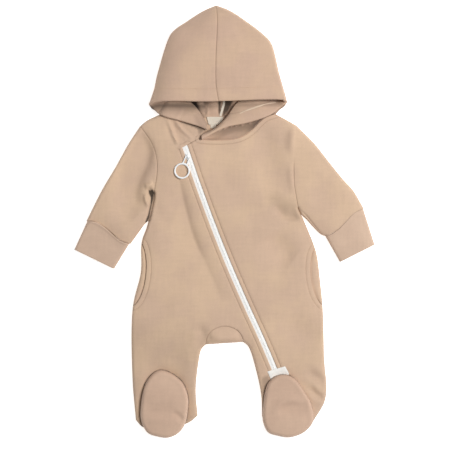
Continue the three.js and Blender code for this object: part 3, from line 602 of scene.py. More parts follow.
def paint_shade(piece, share):
    """Marks how much painted shade darkens the cloth at each point, by the point's place in millimetres."""
    mesh = piece.data
    spots = np.empty(3 * len(mesh.vertices), np.float32)
    mesh.vertices.foreach_get("co", spots)
    shares = share(*(spots.reshape(-1, 3).astype(float) / MM).T)
    mesh.attributes.new("painted_shade_share", "FLOAT", "POINT").data.foreach_set("value", shares.astype(np.float32))


def inside_softly(corners, x, y, softness):
    """0 outside a shape and 1 inside, with a smooth step as wide as the softness across its line."""
    t = (depth_in(np.array(corners, float), x, y) / softness + 0.5).clip(0, 1)
    return t * t * (3 - 2 * t)


BODY_FLEECE = fleece("beige_fleece", colour(214, 184, 156), colour(208, 178, 154))


def body_outline(neck):
    return outline_of(
        neck[::-1], SHOULDER["right"], ARMHOLE["right"], SIDE_SEAM["right"], HEEL["right"][::-1],
        INNER_LEG["right"][::-1], INNER_LEG["left"], HEEL["left"], SIDE_SEAM["left"][::-1],
        ARMHOLE["left"][::-1], SHOULDER["left"][::-1],
    )


SEAM_GAP = 0.12
BACK_OUTLINE = body_outline(BACK_NECK)


def beyond(outline, x, y, gap=SEAM_GAP):
    """How far outside an outline a place is, less the gap of a seam."""
    return -depth_in(outline, x, y) - gap


def grown(outline, distance):
    """A closed line moved out by a distance along its normals."""
    ahead = np.roll(outline, -1, axis=0) - np.roll(outline, 1, axis=0)
    normal = np.column_stack([ahead[:, 1], -ahead[:, 0]]) / np.linalg.norm(ahead, axis=1)[:, None]
    moved = outline + normal * distance
    went_out = np.ptp(moved[:, 0]) > np.ptp(outline[:, 0])
    return moved if (distance > 0) == went_out else outline - normal * distance


CUT_AWAY = {key: grown(hole, SEAM_GAP) for key, hole in (("gusset", GUSSET), *EGG.items())}


def in_back(x, y):
    holes = [beyond(hole, x, y, 0) for hole in CUT_AWAY.values()]
    return np.minimum.reduce([depth_in(BACK_OUTLINE, x, y), *holes])


back = lay_piece(
    "back_panel", [BACK_OUTLINE, *CUT_AWAY.values()], in_back, back_level, BODY_FLEECE, up=-1, spacing=3.2,
)
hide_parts("back")

# ======================================================================== soles
# Each foot has an egg-shaped sole of the same fleece, sewn all round to the foot's top and the back.
# It lies on the table, turned up at its edge.
FOOT_FLEECE = fleece("rose_beige_fleece", colour(209, 178, 155), colour(203, 172, 150))
for side in ("right", "left"):
    sole = lay_piece(
        f"sole_{side}_panel", [EGG[side]], lambda x, y, s=side: depth_in(EGG[s], x, y), back_level,
        FOOT_FLEECE, up=-1,
    )
    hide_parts(f"sole_{side}")

# ======================================================================== gusset
# A lens of fleece set into the crotch. Its front half shows between the legs, and it folds under to
# the back half at the crotch line. It is sewn to the fronts and the back.
FRONT_CREASES = [
    {"path": [(-75, 78), (-70.5, 60), (-67, 40), (-62, 20), (-57, 0), (-51, -20), (-43, -41), (-33, -62)],
     "width": 22, "height": -5.4, "lean": -0.7, "banks": 0, "power": 1.15},
    {"path": [(-52, -16), (-44, -40), (-34, -60), (-25, -80), (-15, -102), (-3, -130)],
     "width": 26, "height": -3.4, "lean": -0.62, "banks": 0, "power": 1.3},
    {"path": [(-92, 165), (-86, 150), (-80.6, 135), (-67, 109)], "width": 2.4, "height": 2.0},
    {"path": [(-80, 165), (-72, 152), (-65, 144), (-51, 132)], "width": 2.4, "height": 2.0},
    {"path": [(-86, 163), (-77, 145), (-62, 124)], "width": 3.5, "height": -1.4, "banks": 0},
    {"path": [(58, 164), (63, 130), (70, 100), (77, 64), (82, 34)],
     "width": 27, "height": -6.2, "lean": -0.1, "banks": 0},
    {"path": [(-24, -188), (0, -190), (24, -189)], "width": 13, "height": 6.0, "banks": 0},
    {"path": [(97, 150), (95, 132), (93, 112)], "width": 8, "height": -1.2, "banks": 0},
    {"path": [(111, 156), (108, 130), (106, 104)], "width": 6.5, "height": 2.0, "banks": 0},
    {"path": [(105, 94), (106, 70), (110, 46)], "width": 4.5, "height": 1.3, "banks": 0},
    {"path": [(82, 28), (88, 17), (96, 9), (106, 6), (120, 6.5)],
     "width": 10, "height": -4.6, "lean": 0.5, "banks": 0, "power": 1.6},
    {"path": [(72, -20), (90, -44), (112, -60)], "width": 20, "height": -5.4, "lean": -0.1, "banks": 0.1},
    {"path": [(-118, 30), (-100, 6), (-84, -4)], "width": 12, "height": -1.4, "banks": 0},
    {"path": [(-147, -222), (-104, -232), (-56, -226)], "width": 26, "height": -4.4, "banks": 0},
    {"path": [(-140, -122), (-112, -138), (-80, -142)], "width": 18, "height": -1.6, "banks": 0.2},
    {"path": [(92, -160), (122, -176), (156, -190)], "width": 18, "height": -2.4, "banks": 0.2},
    {"path": [(132, -238), (148, -250), (164, -256)], "width": 6.5, "height": -2.4},
    {"path": [(134, -264), (148, -278), (162, -284)], "width": 4.5, "height": -2.6},
    {"path": [(-30, 90), (10, 60), (40, 20)], "width": 24, "height": -0.7, "banks": 0.2},
    {"path": [(20, -20), (60, -60), (100, -90)], "width": 26, "height": -0.7, "banks": 0.2},
    {"path": [(-44, -166), (-34, -184), (-44, -206)], "width": 7, "height": -2.2},
]
SLEEVE_CREASES = [
    {"path": [(-139, 148), (-131, 132), (-127, 113), (-130, 96), (-138, 79), (-145, 62), (-148, 49),
              (-146, 37), (-140, 26), (-131, 15)],
     "width": 21, "height": -11.5, "lean": -0.44, "banks": 0},
    {"path": [(-136, 92), (-141, 74), (-146, 56), (-146, 42), (-138, 28)],
     "width": 11, "height": -3.6, "lean": -0.4, "banks": 0, "power": 1.4},
    {"path": [(-166, 100), (-160, 70), (-164, 42)], "width": 10, "height": -1.6, "banks": 0.2},
    {"path": [(-114, 60), (-120, 58.5), (-128, 55)], "width": 4.0, "height": 3.6, "banks": 0},
    {"path": [(-126, 46), (-126.5, 36), (-121, 22)], "width": 2.8, "height": 3.4, "banks": 0},
    {"path": [(-176, 30), (-160, 18), (-140, 12)], "width": 14, "height": -1.4, "banks": 0.2},
    {"path": [(120.4, 19), (132, 7.4), (145, -8.6), (156.6, -22.6)],
     "width": 1.3, "height": -3.2, "banks": 0},
    {"path": [(140, 70), (156, 44), (164, 18)], "width": 18, "height": -1.4, "banks": 0.2},
]
ARMPIT = np.array([(-119, 49), (-114.5, 46), (-114.6, 36), (-117.6, 22), (-119.9, 11), (-122.4, 3)])
ARMPIT_DIP, ARMPIT_WIDTH = 5.0, 3.2
CUFF_DIP, CUFF_DIP_WIDTH = 1.6, 8.0
SLIDER_HILL, SLIDER_HILL_WIDTH, SLIDER_HILL_MIDDLE = 3.2, 36.0, (-63, 92)  # the cloth stands up round it
LOWEST_TOP = 4.8  # no dip of the front goes lower, so that it stays clear of the back


def bell(distance, width):
    """e^-(distance / width)^2: 1 at a line and nearly 0 two widths from it."""
    return np.exp(-((distance / width) ** 2))


def foot_groove(x, y):
    """The dip of a leg round the foot's top, outside its seam. It runs out on the left foot's outer side."""
    outside = np.maximum(-np.maximum(depth_in(EGG["right"], x, y), depth_in(EGG["left"], x, y)), 0)
    share = 1 - 0.9 * rounding(x - 98, 24).clip(0, 1)
    return -share * 1.5 * (bell(outside, 5) + bell(outside, 11)) * (outside > 0)


def front_level(x, y, edge):
    """Top of the fronts: a quarter circle up from the side seams, then the soft loft, higher round the
    zip's slider, with the folds. A dip d over a room r goes down by d / (1 + (d / r)^4)^(1/4)."""
    fade = rounding(edge, FRONT_ROLL / 2).clip(0, 1)
    folds = sum(crease(x, y, **c) for c in FRONT_CREASES + SLEEVE_CREASES) + ripple(x, y)
    from_slider = np.hypot(x - SLIDER_HILL_MIDDLE[0], y - SLIDER_HILL_MIDDLE[1])
    hill = SLIDER_HILL * bell(from_slider, SLIDER_HILL_WIDTH)
    loft = (FRONT_LOFT - FOLD_LEVEL - NOSE_RISE) * front_swell(x, y).clip(0, 1)
    plain = FOLD_LEVEL + NOSE_RISE * nose(edge, EDGE_NOSE) + loft + hill
    pit = ARMPIT_DIP * bell(distance_to(ARMPIT, x, y)[0], ARMPIT_WIDTH)
    cuff_dip = CUFF_DIP * bell(distance_to(CUFF_SEAM["right"], x, y)[0], CUFF_DIP_WIDTH)
    change = (folds - cuff_dip) * fade + foot_groove(x, y) * nose(edge, 8) - pit
    room = (plain - LOWEST_TOP).clip(0.2)
    return plain + np.where(change < 0, change / (1 + (np.abs(change) / room) ** 4) ** 0.25, change)


# Patches of painted shade on the fronts and sleeves: each gives how dark, how soft its edge is, and its
# corners.
BODY_PAINTED_SHADE = (  # how dark, how soft its edge is, and its corners
    (0.9, 1.8, [(-121.5, 50), (-114.8, 51), (-112.8, 46), (-113, 38), (-116, 26), (-118, 18), (-120, 9),
                (-124, -1), (-127, -1), (-122.8, 9), (-120.4, 19), (-118.4, 28), (-117.8, 38), (-121, 45)]),
    (0.6, 2.4, [(-74, 160.5), (-44, 154.5), (-22, 143), (-27, 138.5), (-46, 150)]),
    (0.17, 20, [(72, 40), (82, 20), (92, 9), (104, 4), (122, 4), (116, 24), (98, 36), (84, 46)]),
    (0.3, 5.0, [(60, -250), (70, -246), (74, -256), (67, -270), (60, -276)]),
    (0.3, 3.0, [(21, -172), (31, -188), (27, -192), (17, -178)]),
    (0.09, 60, [(-190, -165), (-20, -165), (-20, -400), (-190, -400)]),
    (0.06, 50, [(126, -150), (210, -150), (210, -400), (126, -400)]),
)


def body_painted_shade(x, y, z):
    """Painted shade in the armpits, under the right cheek's edge, beside the left foot, and a little down the
    legs.
    """
    shares = [share * inside_softly(corners, x, y, soft) for share, soft, corners in BODY_PAINTED_SHADE]
    return np.maximum.reduce(shares)


gusset_arc = GUSSET[GUSSET[:, 1] > np.interp(GUSSET[:, 0], CROTCH[:, 0], CROTCH[:, 1])]
GUSSET_HALF = outline_of(gusset_arc[np.argsort(-gusset_arc[:, 0])], evenly(CROTCH))


def gusset_points(level, up):
    """Half the gusset, cut and laid over a height, facing up (1) or down (-1)."""
    spots, triangles = cut_piece([GUSSET_HALF], lambda x, y: depth_in(GUSSET_HALF, x, y), 2.2)
    x, y = spots.T
    return np.column_stack([x, y, level(x, y, edge_depth(x, y).clip(0))]), triangles[:, ::up]


upper, upper_faces = gusset_points(front_level, 1)
lower, lower_faces = gusset_points(back_level, -1)


def weld(points, faces):
    """Points that are in one place made one. It gives the points, the faces, and which points were kept."""
    _, kept, again = np.unique(np.round(points, 3), axis=0, return_index=True, return_inverse=True)
    return points[kept], again.ravel()[faces], kept


in_seam = 1 - nose(depth_in(GUSSET, *upper[:, :2].T).clip(0), SEAM_ROLL)
upper[:, 2] -= SEAM_DIP * in_seam * nose(edge_depth(*upper[:, :2].T), 5)
both_faces = np.vstack([upper_faces, lower_faces + len(upper)])
gusset_outer, gusset_faces, _ = weld(np.vstack([upper, lower]), both_faces)
gusset_depth = depth_in(GUSSET, *gusset_outer[:, :2].T).clip(0)
gusset_wall = CLOTH * (0.3 + 0.7 * nose(gusset_depth, 3))[:, None]
gusset_inner = gusset_outer - out_from(gusset_outer, gusset_faces) * gusset_wall
gusset = wall(
    "gusset_panel", gusset_outer, gusset_inner, gusset_faces, BODY_FLEECE,
    {"near_seam": closeness(gusset_depth)},
)
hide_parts("gusset")

# ======================================================================== pocket facings
# A pocket opens along each side seam. The facing is a sliver of the same fleece behind the mouth, sewn
# into the side seam. Its lower part lies under the front.
POCKET = {
    "right": {"middle": (-146, -82), "width": 42, "length": 108, "tilt": -0.09},
    "left": {"middle": (158, -86), "width": 41, "length": 100, "tilt": 0.11},
}
FACING_REACH = 9.0
FACING_CLEAR = 8.0  # past the mouth it starts this far in from the side seam, where the front has room
MOUTH = {side: oval(**POCKET[side]) for side in POCKET}
REACH = {side: oval(**POCKET[side], grow=FACING_REACH) for side in POCKET}
FACING_CLOTH = 1.4
FACING_DROP = 3.3  # how far below the front's top it lies
FACING_DROP_IN_MOUTH = 0.9  # the same in the middle of the pocket's mouth
for side in ("right", "left"):
    def in_facing(x, y, side=side):
        hidden = np.minimum(depth_in(REACH[side], x, y), edge_depth(x, y) - FACING_CLEAR)
        shown = depth_in(MOUTH[side], x, y) - SEAM_GAP
        return np.minimum(depth_in(BACK_OUTLINE, x, y), np.maximum(shown, hidden))

    def facing_level(x, y, edge, side=side):
        in_mouth = rounding(depth_in(MOUTH[side], x, y), 7).clip(0, 1)
        below = FACING_DROP - (FACING_DROP - FACING_DROP_IN_MOUTH) * in_mouth
        return front_level(x, y, edge) - below * nose(edge, 8)

    facing = lay_piece(
        f"pocket_{side}_facing", [BACK_OUTLINE, grown(MOUTH[side], -SEAM_GAP), REACH[side]], in_facing,
        facing_level, BODY_FLEECE, thickness=FACING_CLOTH, spacing=2.2,
    )
    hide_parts(f"pocket_{side}")

# ======================================================================== fronts
# Two fronts of the same fleece meet at the slanting zip. They are sewn to the back at the sides and
# inner legs, to the sleeves at the armholes, and stitched 6 mm from the neck, zip and pocket edges.
ZIP_HALF = 4.6
ZIP_SPOTS = [
    (-61.5, 115), (-44.6, 65.6), (-21.2, 1.6), (4, -62.4), (31.6, -126.4), (60.6, -190.4), (77, -229),
]
ZIP_LINE = smooth_line([(-75, 149), *ZIP_SPOTS, (93, -268)])
SLIT_LINE = smooth_line([(-61.5, 121.4), (-57.3, 123.6), (-50, 127.8), (-41.8, 132.2), (-33, 136)], 6)
FRONT_NECK = {
    "right": spline([(-104, 171), (-66, 165.5), (-38, 156.5), (-29.5, 147.5)]),
    "left": spline([(-41.5, 131.2), (-24, 129.6), (-4, 129.4), (14, 131), (30, 136), (43.5, 145), (56, 158),
                    (66, 166), (82, 172)]),
}
NECK_CORNER = (-39.5, 134.8)
ZIP_TOP = ((-75, 114.8), (-55, 124.6))
FRONT_OUTLINE = body_outline(np.vstack([FRONT_NECK["right"], NECK_CORNER, FRONT_NECK["left"]]))


def beside(line, distance):
    """An open line moved to its left by a distance."""
    ahead = np.gradient(line, axis=0)
    normal = np.column_stack([-ahead[:, 1], ahead[:, 0]]) / np.linalg.norm(ahead, axis=1)[:, None]
    return line + normal * distance


def under_zip_top(line):
    """The part of a line below the fold that covers the zip's upper end, starting on the fold."""
    (ax, ay), (bx, by) = ZIP_TOP
    fold = ay + (by - ay) * (line[:, 0] - ax) / (bx - ax)
    first = np.argmax(line[:, 1] < fold)
    above, below = line[first - 1], line[first]
    share = (above[1] - fold[first - 1]) / (above[1] - fold[first - 1] - below[1] + fold[first])
    return np.vstack([above + (below - above) * share, line[first:]])


SLOT_LEFT = evenly(under_zip_top(beside(ZIP_LINE, ZIP_HALF)))
SLOT_RIGHT = evenly(under_zip_top(beside(ZIP_LINE, -ZIP_HALF)))
SLOT = outline_of(SLOT_RIGHT, SLOT_LEFT[::-1])
SLIT = outline_of(beside(SLIT_LINE, SEAM_GAP), beside(SLIT_LINE, -SEAM_GAP)[::-1])
LEFT_PART = outline_of(
    (-20, 180), SLIT_LINE[::-1], evenly(under_zip_top(ZIP_LINE), 12), (100, -400), (300, -400), (300, 300),
)
STITCH_INSET = 6.0
STITCH_SINK = 0.45
DEEP_SINK = 0.45  # more of it beside the zip on the left front
TOPSTITCH_RINGS = (0.3, 1.0, 2.1, 3.4, 4.7, 6.0, 7.3, 8.8)


def in_fronts(x, y):
    cuts = [SLOT, SLIT, MOUTH["right"], MOUTH["left"], *CUT_AWAY.values()]
    return np.minimum.reduce([depth_in(FRONT_OUTLINE, x, y), *[beyond(c, x, y, 0) for c in cuts]])


def from_stitching(x, y):
    """Distance to the nearest line of stitching on the fronts."""
    zip_line = np.abs(-depth_in(SLOT, x, y) - STITCH_INSET)
    mouths = [np.abs(-depth_in(MOUTH[s], x, y) - STITCH_INSET - 1) for s in MOUTH]
    neck = np.abs(distance_to(FRONT_NECK["left"], x, y)[0] - STITCH_INSET)
    return np.minimum.reduce([zip_line, neck, *mouths])


def topstitched_level(x, y, edge):
    """Top of the fronts with each line of topstitching pulled in to a narrow groove."""
    deeper = (depth_in(LEFT_PART, x, y) > 0) & (depth_in(SLOT, x, y) > -9)
    groove = (STITCH_SINK + DEEP_SINK * deeper) * np.exp(-((from_stitching(x, y) / 1.7) ** 2))
    return front_level(x, y, edge) - groove * nose(edge, 5)


for side, sign in (("right", -1), ("left", 1)):
    def in_front(x, y, sign=sign):
        return np.where(np.sign(depth_in(LEFT_PART, x, y)) == sign, in_fronts(x, y), -1)

    front = lay_piece(
        f"front_{side}_panel", [FRONT_OUTLINE, SLOT, SLIT, *MOUTH.values(), *CUT_AWAY.values()], in_front,
        topstitched_level, BODY_FLEECE, stitched=from_stitching, spacing=2.4, rings=TOPSTITCH_RINGS,
    )
    # Painted shade in the armpits, under the right cheek's edge, by the left foot and down the legs.
    paint_shade(front, body_painted_shade)
    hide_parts(f"front_{side}")

# ======================================================================== zip tapes and coil
# A white coil zip: two woven tapes stitched under the fronts' edges, and a nylon coil along each that
# lock into one ridge. It runs from the collar to the left foot.
TAPE = 0.8
TAPE_HALF = 9.0
TAPE_DROP = 2.4
TAPE_TOP_DROP = 1.3
ZIP_PATH = smooth_line([(-64.5, 124), *ZIP_SPOTS, (87.5, -254)])


def zip_level(x, y):
    """Top of the tapes: near the fronts' height between their edges, and below them under the cloth."""
    under_cloth = rounding(distance_to(ZIP_PATH, x, y)[0] - 4.1, 1.2).clip(0, 1)
    drop = TAPE_TOP_DROP + (TAPE_DROP - TAPE_TOP_DROP) * under_cloth
    return front_level(x, y, edge_depth(x, y).clip(0)) - drop


def grid_faces(rows, columns, around=False):
    """The four-sided faces of a grid of points, closed round its columns if it goes around."""
    i, j = np.meshgrid(np.arange(rows - 1), np.arange(columns if around else columns - 1), indexing="ij")
    i, j, k = i.ravel(), j.ravel(), (j.ravel() + 1) % columns
    return np.column_stack([i * columns + j, i * columns + k, (i + 1) * columns + k, (i + 1) * columns + j])


white_tape = Finish("white_zip_tape")
weave = white_tape.noise(2600, 2, (1, 0.4, 1), 1.18)
tape_tone = white_tape.mix(weave, colour(253, 252, 250), colour(244, 243, 240))
white_tape.surface({"Base Color": tape_tone, "Roughness": 0.75}, weave * 0.15, MM)

zip_run = evenly(ZIP_PATH, 2.0)
zip_run = zip_run[depth_in(CUT_AWAY["left"], *zip_run.T) < 0]
for side, sign in (("right", -1), ("left", 1)):
    offsets = sign * np.linspace(SEAM_GAP / 2, TAPE_HALF, 9)
    rows = np.stack([beside(zip_run, offset) for offset in offsets], axis=1).reshape(-1, 2)
    tape_top = np.column_stack([rows, zip_level(*rows.T)])
    tape_faces = grid_faces(len(zip_run), len(offsets))[:, ::-sign]
    tape = wall(f"zip_tape_{side}_strip", tape_top, tape_top - (0, 0, TAPE), tape_faces, white_tape.material)
    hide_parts(f"zip_tape_{side}")


def capsules(middles, directions, half, radius, sides=6):
    """Short rods with rounded ends, all of one size: rings of points round each direction, widest in the
    middle of the rod and closed by a flat at both ends."""
    stations = np.array([(-1, 0.45), (-0.72, 1), (0.72, 1), (1, 0.45)]) * (half, radius)
    forward = directions / np.linalg.norm(directions, axis=1)[:, None]
    sideways = np.cross(forward, (0, 0, 1.0))
    sideways /= np.linalg.norm(sideways, axis=1)[:, None]
    upward = np.cross(sideways, forward)
    angle = np.linspace(0, 2 * math.pi, sides, endpoint=False)
    spots = (
        middles[:, None, None] + forward[:, None, None] * stations[:, 0][:, None, None]
        + sideways[:, None, None] * (stations[:, 1][:, None] * np.cos(angle))[..., None]
        + upward[:, None, None] * (stations[:, 1][:, None] * np.sin(angle))[..., None]
    )
    one = grid_faces(len(stations), sides, around=True)
    start = np.arange(len(middles))[:, None, None] * len(stations) * sides
    quads = (one[:, ::-1] + start).reshape(-1, 4).tolist()
    first = np.arange(sides) + start[:, 0]
    last = first[:, ::-1] + (len(stations) - 1) * sides
    return spots.reshape(-1, 3), quads + first.tolist() + last.tolist()


def add_height(line, level):
    """A line seen from above, with its height."""
    return np.column_stack([line, level(*line.T)])


nylon = Finish("white_nylon")
nylon_tone = nylon.mix(nylon.noise(90, 2), colour(254, 253, 251), colour(247, 246, 243))
nylon.surface({"Base Color": nylon_tone, "Roughness": 0.38}, nylon.noise(1200, 1) * 0.05, MM)

SLIDER = np.array((-58.8, 103.0))
COIL_PITCH = 0.95
coil_run = evenly(zip_run, COIL_PITCH)
coil_run = coil_run[coil_run[:, 1] < SLIDER[1] - 3]
coil_ahead = np.gradient(coil_run, axis=0)
coil_across = np.column_stack([-coil_ahead[:, 1], coil_ahead[:, 0], 0 * coil_run[:, 0]])
coil_across /= np.linalg.norm(coil_across, axis=1)[:, None]
coil_side = np.where(np.arange(len(coil_run)) % 2, 1, -1)[:, None] * 0.6
coil_middles = add_height(coil_run, zip_level) + (0, 0, 0.2) + coil_across * coil_side
coil = make_piece("zip_coil", *capsules(coil_middles, coil_across, 1.2, 0.45), nylon.material)

# ======================================================================== zip slider and ring pull
# The slider is white enamelled metal that runs on the coil. An arch on it holds the pin of a large
# enamelled ring, which swings on it.
ZIP_ANGLE = math.atan2(-357, 146.5)
PULL_ANGLE = math.atan2(80.6 - SLIDER[1], -68 - SLIDER[0])
SLIDER_BASE = 14.35
PIN_LEVEL = 19.15
RING_REACH = 23.9
RING_RADIUS = 11.35
RING_WIRE = 1.45

enamel = Finish("white_enamel")
enamel_tone = enamel.mix(enamel.noise(260, 3), colour(250, 250, 249), colour(240, 240, 240))
worn = enamel.noise(700, 2).fade(0.72, 0.8)
enamel_tone = enamel.darken(enamel_tone, worn * 0.12)
enamel_gloss = enamel.noise(90, 2) * 0.2 + 0.2
enamel_inputs = {"Base Color": enamel_tone, "Roughness": enamel_gloss, "Specular IOR Level": 0.5}
enamel.surface(enamel_inputs, enamel.noise(500, 2) * 0.04, MM)


def turned(points, angle, move):
    """Points turned about Z and moved."""
    c, s = math.cos(angle), math.sin(angle)
    x, y, z = np.asarray(points, float).T
    return np.column_stack([c * x - s * y, s * x + c * y, z]) + move


def stacked(outline, levels):
    """A closed solid from an outline at several heights: each level is an inset and a height, and the
    first and last are closed by flats."""
    middle = outline.mean(axis=0)
    far = np.linalg.norm(outline - middle, axis=1)[:, None]
    count = len(outline)
    rings = []
    for inset, height in levels:
        plan = middle + (outline - middle) * (1 - inset / far)
        rings.append(np.column_stack([plan, np.full(count, height)]))
    faces = grid_faces(len(levels), count, around=True).tolist()
    faces += [list(range(count))[::-1], [count * (len(levels) - 1) + k for k in range(count)]]
    return np.vstack(rings), faces


def tube(path, radius, sides=14, flatten=1.0):
    """A closed round bar along a path of points: circles square to the path, flattened in height."""
    path = np.asarray(path, float)
    ahead = np.gradient(path, axis=0)
    ahead /= np.linalg.norm(ahead, axis=1)[:, None]
    sideways = np.cross(ahead, (0, 0, 1.0))
    sideways[np.linalg.norm(sideways, axis=1) < 1e-3] = (0, 1, 0)
    sideways /= np.linalg.norm(sideways, axis=1)[:, None]
    upward = np.cross(sideways, ahead)
    angle = np.linspace(0, 2 * math.pi, sides, endpoint=False)
    ring = sideways[:, None] * np.cos(angle)[:, None] + upward[:, None] * np.sin(angle)[:, None] * flatten
    spots = (path[:, None] + radius * ring).reshape(-1, 3)
    faces = grid_faces(len(path), sides, around=True)[:, ::-1].tolist()
    faces += [list(range(sides)), [(len(path) - 1) * sides + k for k in range(sides)][::-1]]
    return spots, faces


def assembled(*solids):
    """Several closed solids as one list of points and faces."""
    points, faces, start = [], [], 0
    for spots, sides in solids:
        points.append(spots)
        faces += [[v + start for v in face] for face in sides]
        start += len(spots)
    return np.vstack(points), faces


half_turn = np.linspace(0, math.pi, 15)
shield = smooth_line([(5, -1.3), (5.2, 0), (5, 1.3), (3.6, 2.9), (1.2, 3.3), (-2.6, 3.1), (-4.7, 2.3),
                      (-5.1, 0), (-4.7, -2.3), (-2.6, -3.1), (1.2, -3.3), (3.6, -2.9), (5, -1.3)], 4)[:-1]
lower_plate = stacked(shield, [(0.6, -1.0), (0.05, -0.65), (0.05, -0.1), (0.5, 0.2)])
upper_plate = stacked(shield, [(0.7, 2.2), (0.05, 2.5), (0.0, 3.1), (0.35, 3.6), (1.1, 3.85)])
wedge = stacked(oval((2.6, 0), 2.2, 3.4, 0), [(0, 0.0), (0, 2.6)])
arch_rise = 3.3 + 3.1 * np.sin(half_turn) ** 0.7
arch = tube(np.column_stack([2.7 * np.cos(half_turn), 0 * half_turn, arch_rise]), 0.62, 12)
slider_points, slider_faces = assembled(lower_plate, upper_plate, wedge, arch)
slider_points = turned(slider_points, ZIP_ANGLE, (*SLIDER, SLIDER_BASE))
slider = make_piece("zip_slider_body", slider_points, slider_faces, enamel.material, sharp=40)
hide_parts("zip_slider")

whole_turn = np.linspace(0, 2 * math.pi, 73)[:-1]
wire_turn = np.linspace(0, 2 * math.pi, 17)[:-1]
around, section = np.meshgrid(whole_turn, wire_turn, indexing="ij")
ring_points = np.column_stack([
    (RING_REACH + (RING_RADIUS + RING_WIRE * np.cos(section)) * np.cos(around)).ravel(),
    ((RING_RADIUS + RING_WIRE * np.cos(section)) * np.sin(around)).ravel(),
    (RING_WIRE * 0.92 * np.sin(section)).ravel(),
])
ring_rows = grid_faces(len(whole_turn) + 1, len(wire_turn), around=True) % len(ring_points)
ring = (ring_points, ring_rows[:, ::-1].tolist())
neck_end = RING_REACH - RING_RADIUS
link = smooth_line([(0, -3.0, 0), (0, 0, 0), (0, 3.0, 0)], 4)
arm_line = smooth_line([(-0.1, 3.1, 0), (4, 3.2, 0), (9, 3.3, 0), (neck_end + 0.4, 3.7, 0)], 5)
arms = [tube(arm_line * (1, side, 1), 1.1) for side in (-1, 1)]
bridge_line = smooth_line([(neck_end, -4.2, 0), (neck_end - 0.6, 0, 0), (neck_end, 4.2, 0)], 8)
bridge = tube(bridge_line, 1.4, flatten=0.8)
pull_points, pull_faces = assembled(ring, tube(link, 0.68), *arms, bridge)
pull_points = turned(pull_points, PULL_ANGLE, (*SLIDER, PIN_LEVEL))
pull = make_piece("zip_ring_pull", pull_points, pull_faces, enamel.material)
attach(pull, "zip_pull")
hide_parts("zip_pull")

# ======================================================================== sleeves
# Two sleeves of the same fleece, each one piece sewn into a tube under the arm, set into the armholes
# and gathered slightly onto the cuffs. They lie flattened, half over and half under.
def graded(count, even=0.2):
    """Shares from 0 to 1 that crowd towards both ends."""
    t = np.linspace(0, 1, count)
    return t - (1 - even) * np.sin(2 * math.pi * t) / (2 * math.pi)


def patch(start, end, first, last, rows, columns):
    """The plan of a piece between four edges, as Coons blended them: the two pairs of opposite edges are
    each joined by straight lines, added, and the four corners' plain blend is taken away."""
    u, w = np.meshgrid(rows, columns, indexing="ij")
    u, w = u[..., None], w[..., None]
    one, two = along(first, rows)[:, None], along(last, rows)[:, None]
    head, tail = along(start, columns)[None], along(end, columns)[None]
    corners = (1 - u) * ((1 - w) * first[0] + w * last[0]) + u * ((1 - w) * first[-1] + w * last[-1])
    return (1 - w) * one + w * two + (1 - u) * head + u * tail - corners


def flattened_tube(plan, over, under, thickness, ends):
    """A tube that lies flat on its plan: columns go over the top from its first long edge to the other and
    back underneath. ends gives how far each row's points are from the seams, where the cloth dips."""
    rows, columns = plan.shape[:2]
    there_and_back = np.concatenate([plan, plan[:, -2:0:-1]], axis=1)
    x, y = there_and_back[..., 0].ravel(), there_and_back[..., 1].ravel()
    edge = edge_depth(x, y).clip(0)
    top = np.tile(np.arange(there_and_back.shape[1]) < columns, rows)
    at_fold = np.tile(np.isin(np.arange(there_and_back.shape[1]), (0, columns - 1)), rows)
    z = np.where(top, over(x, y, edge), under(x, y, edge))
    z[at_fold] = FOLD_LEVEL
    base = np.column_stack([x, y, z])
    faces = grid_faces(rows, there_and_back.shape[1], around=True)
    if np.sign(np.cross(plan[1, 0] - plan[0, 0], plan[0, 1] - plan[0, 0])) > 0:
        faces = faces[:, ::-1]
    inner = base - out_from(base, faces) * thickness
    inset = ends(x, y).clip(0)
    outer = base.copy()
    strength = seam_strength(x, y)
    dip = SEAM_DIP * strength * (1 - nose(inset, SEAM_ROLL)) * nose(edge, EDGE_NOSE)
    outer[:, 2] -= np.where(top, dip, -dip)
    return outer, inner, faces, inset + 1.4 * (1 - strength)


ROUND = (1 - np.cos(np.linspace(0, math.pi, 61))) / 2
for side in ("right", "left"):
    plan = patch(ARMHOLE[side], CUFF_SEAM[side], SLEEVE_TOP[side], SLEEVE_UNDER[side], graded(84), ROUND)
    outer, inner, faces, inset = flattened_tube(
        plan, front_level, back_level, CLOTH,
        lambda x, y, s=side: np.minimum(distance_to(ARMHOLE[s], x, y)[0], distance_to(CUFF_SEAM[s], x, y)[0]),
    )
    sleeve = wall(f"sleeve_{side}_tube", outer, inner, faces, BODY_FLEECE, {"near_seam": closeness(inset)})
    # Painted shade in the armpits and the left armpit's crescent.
    paint_shade(sleeve, body_painted_shade)
    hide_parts(f"sleeve_{side}")

# ======================================================================== cuffs
# Plain cuffs of the same fleece folded double, a little narrower than the sleeves' ends. Each is a ring
# sewn to its sleeve, with the fold at the wrist.
CUFF_FLEECE = fleece("pale_beige_fleece", colour(212, 183, 160), colour(206, 177, 155))
CUFF_CLOTH = 3.2
CUFF_LOFT = {"right": 10.4, "left": 13.4}
CUFF_STEP = {"right": 2.2, "left": 0.1}
CUFF_RIDGE = {"right": 1.3, "left": 0.5}
CUFF_PLAN = {
    "right": {"wrist": [(-240.5, -45), (-177, -76)], "start": [(-219.6, 0.8), (-152.4, -35.6)]},
    "left": {"wrist": [(240.5, -37), (185, -65)], "start": [(222.2, 20.5), (161.2, -22.9)]},
}


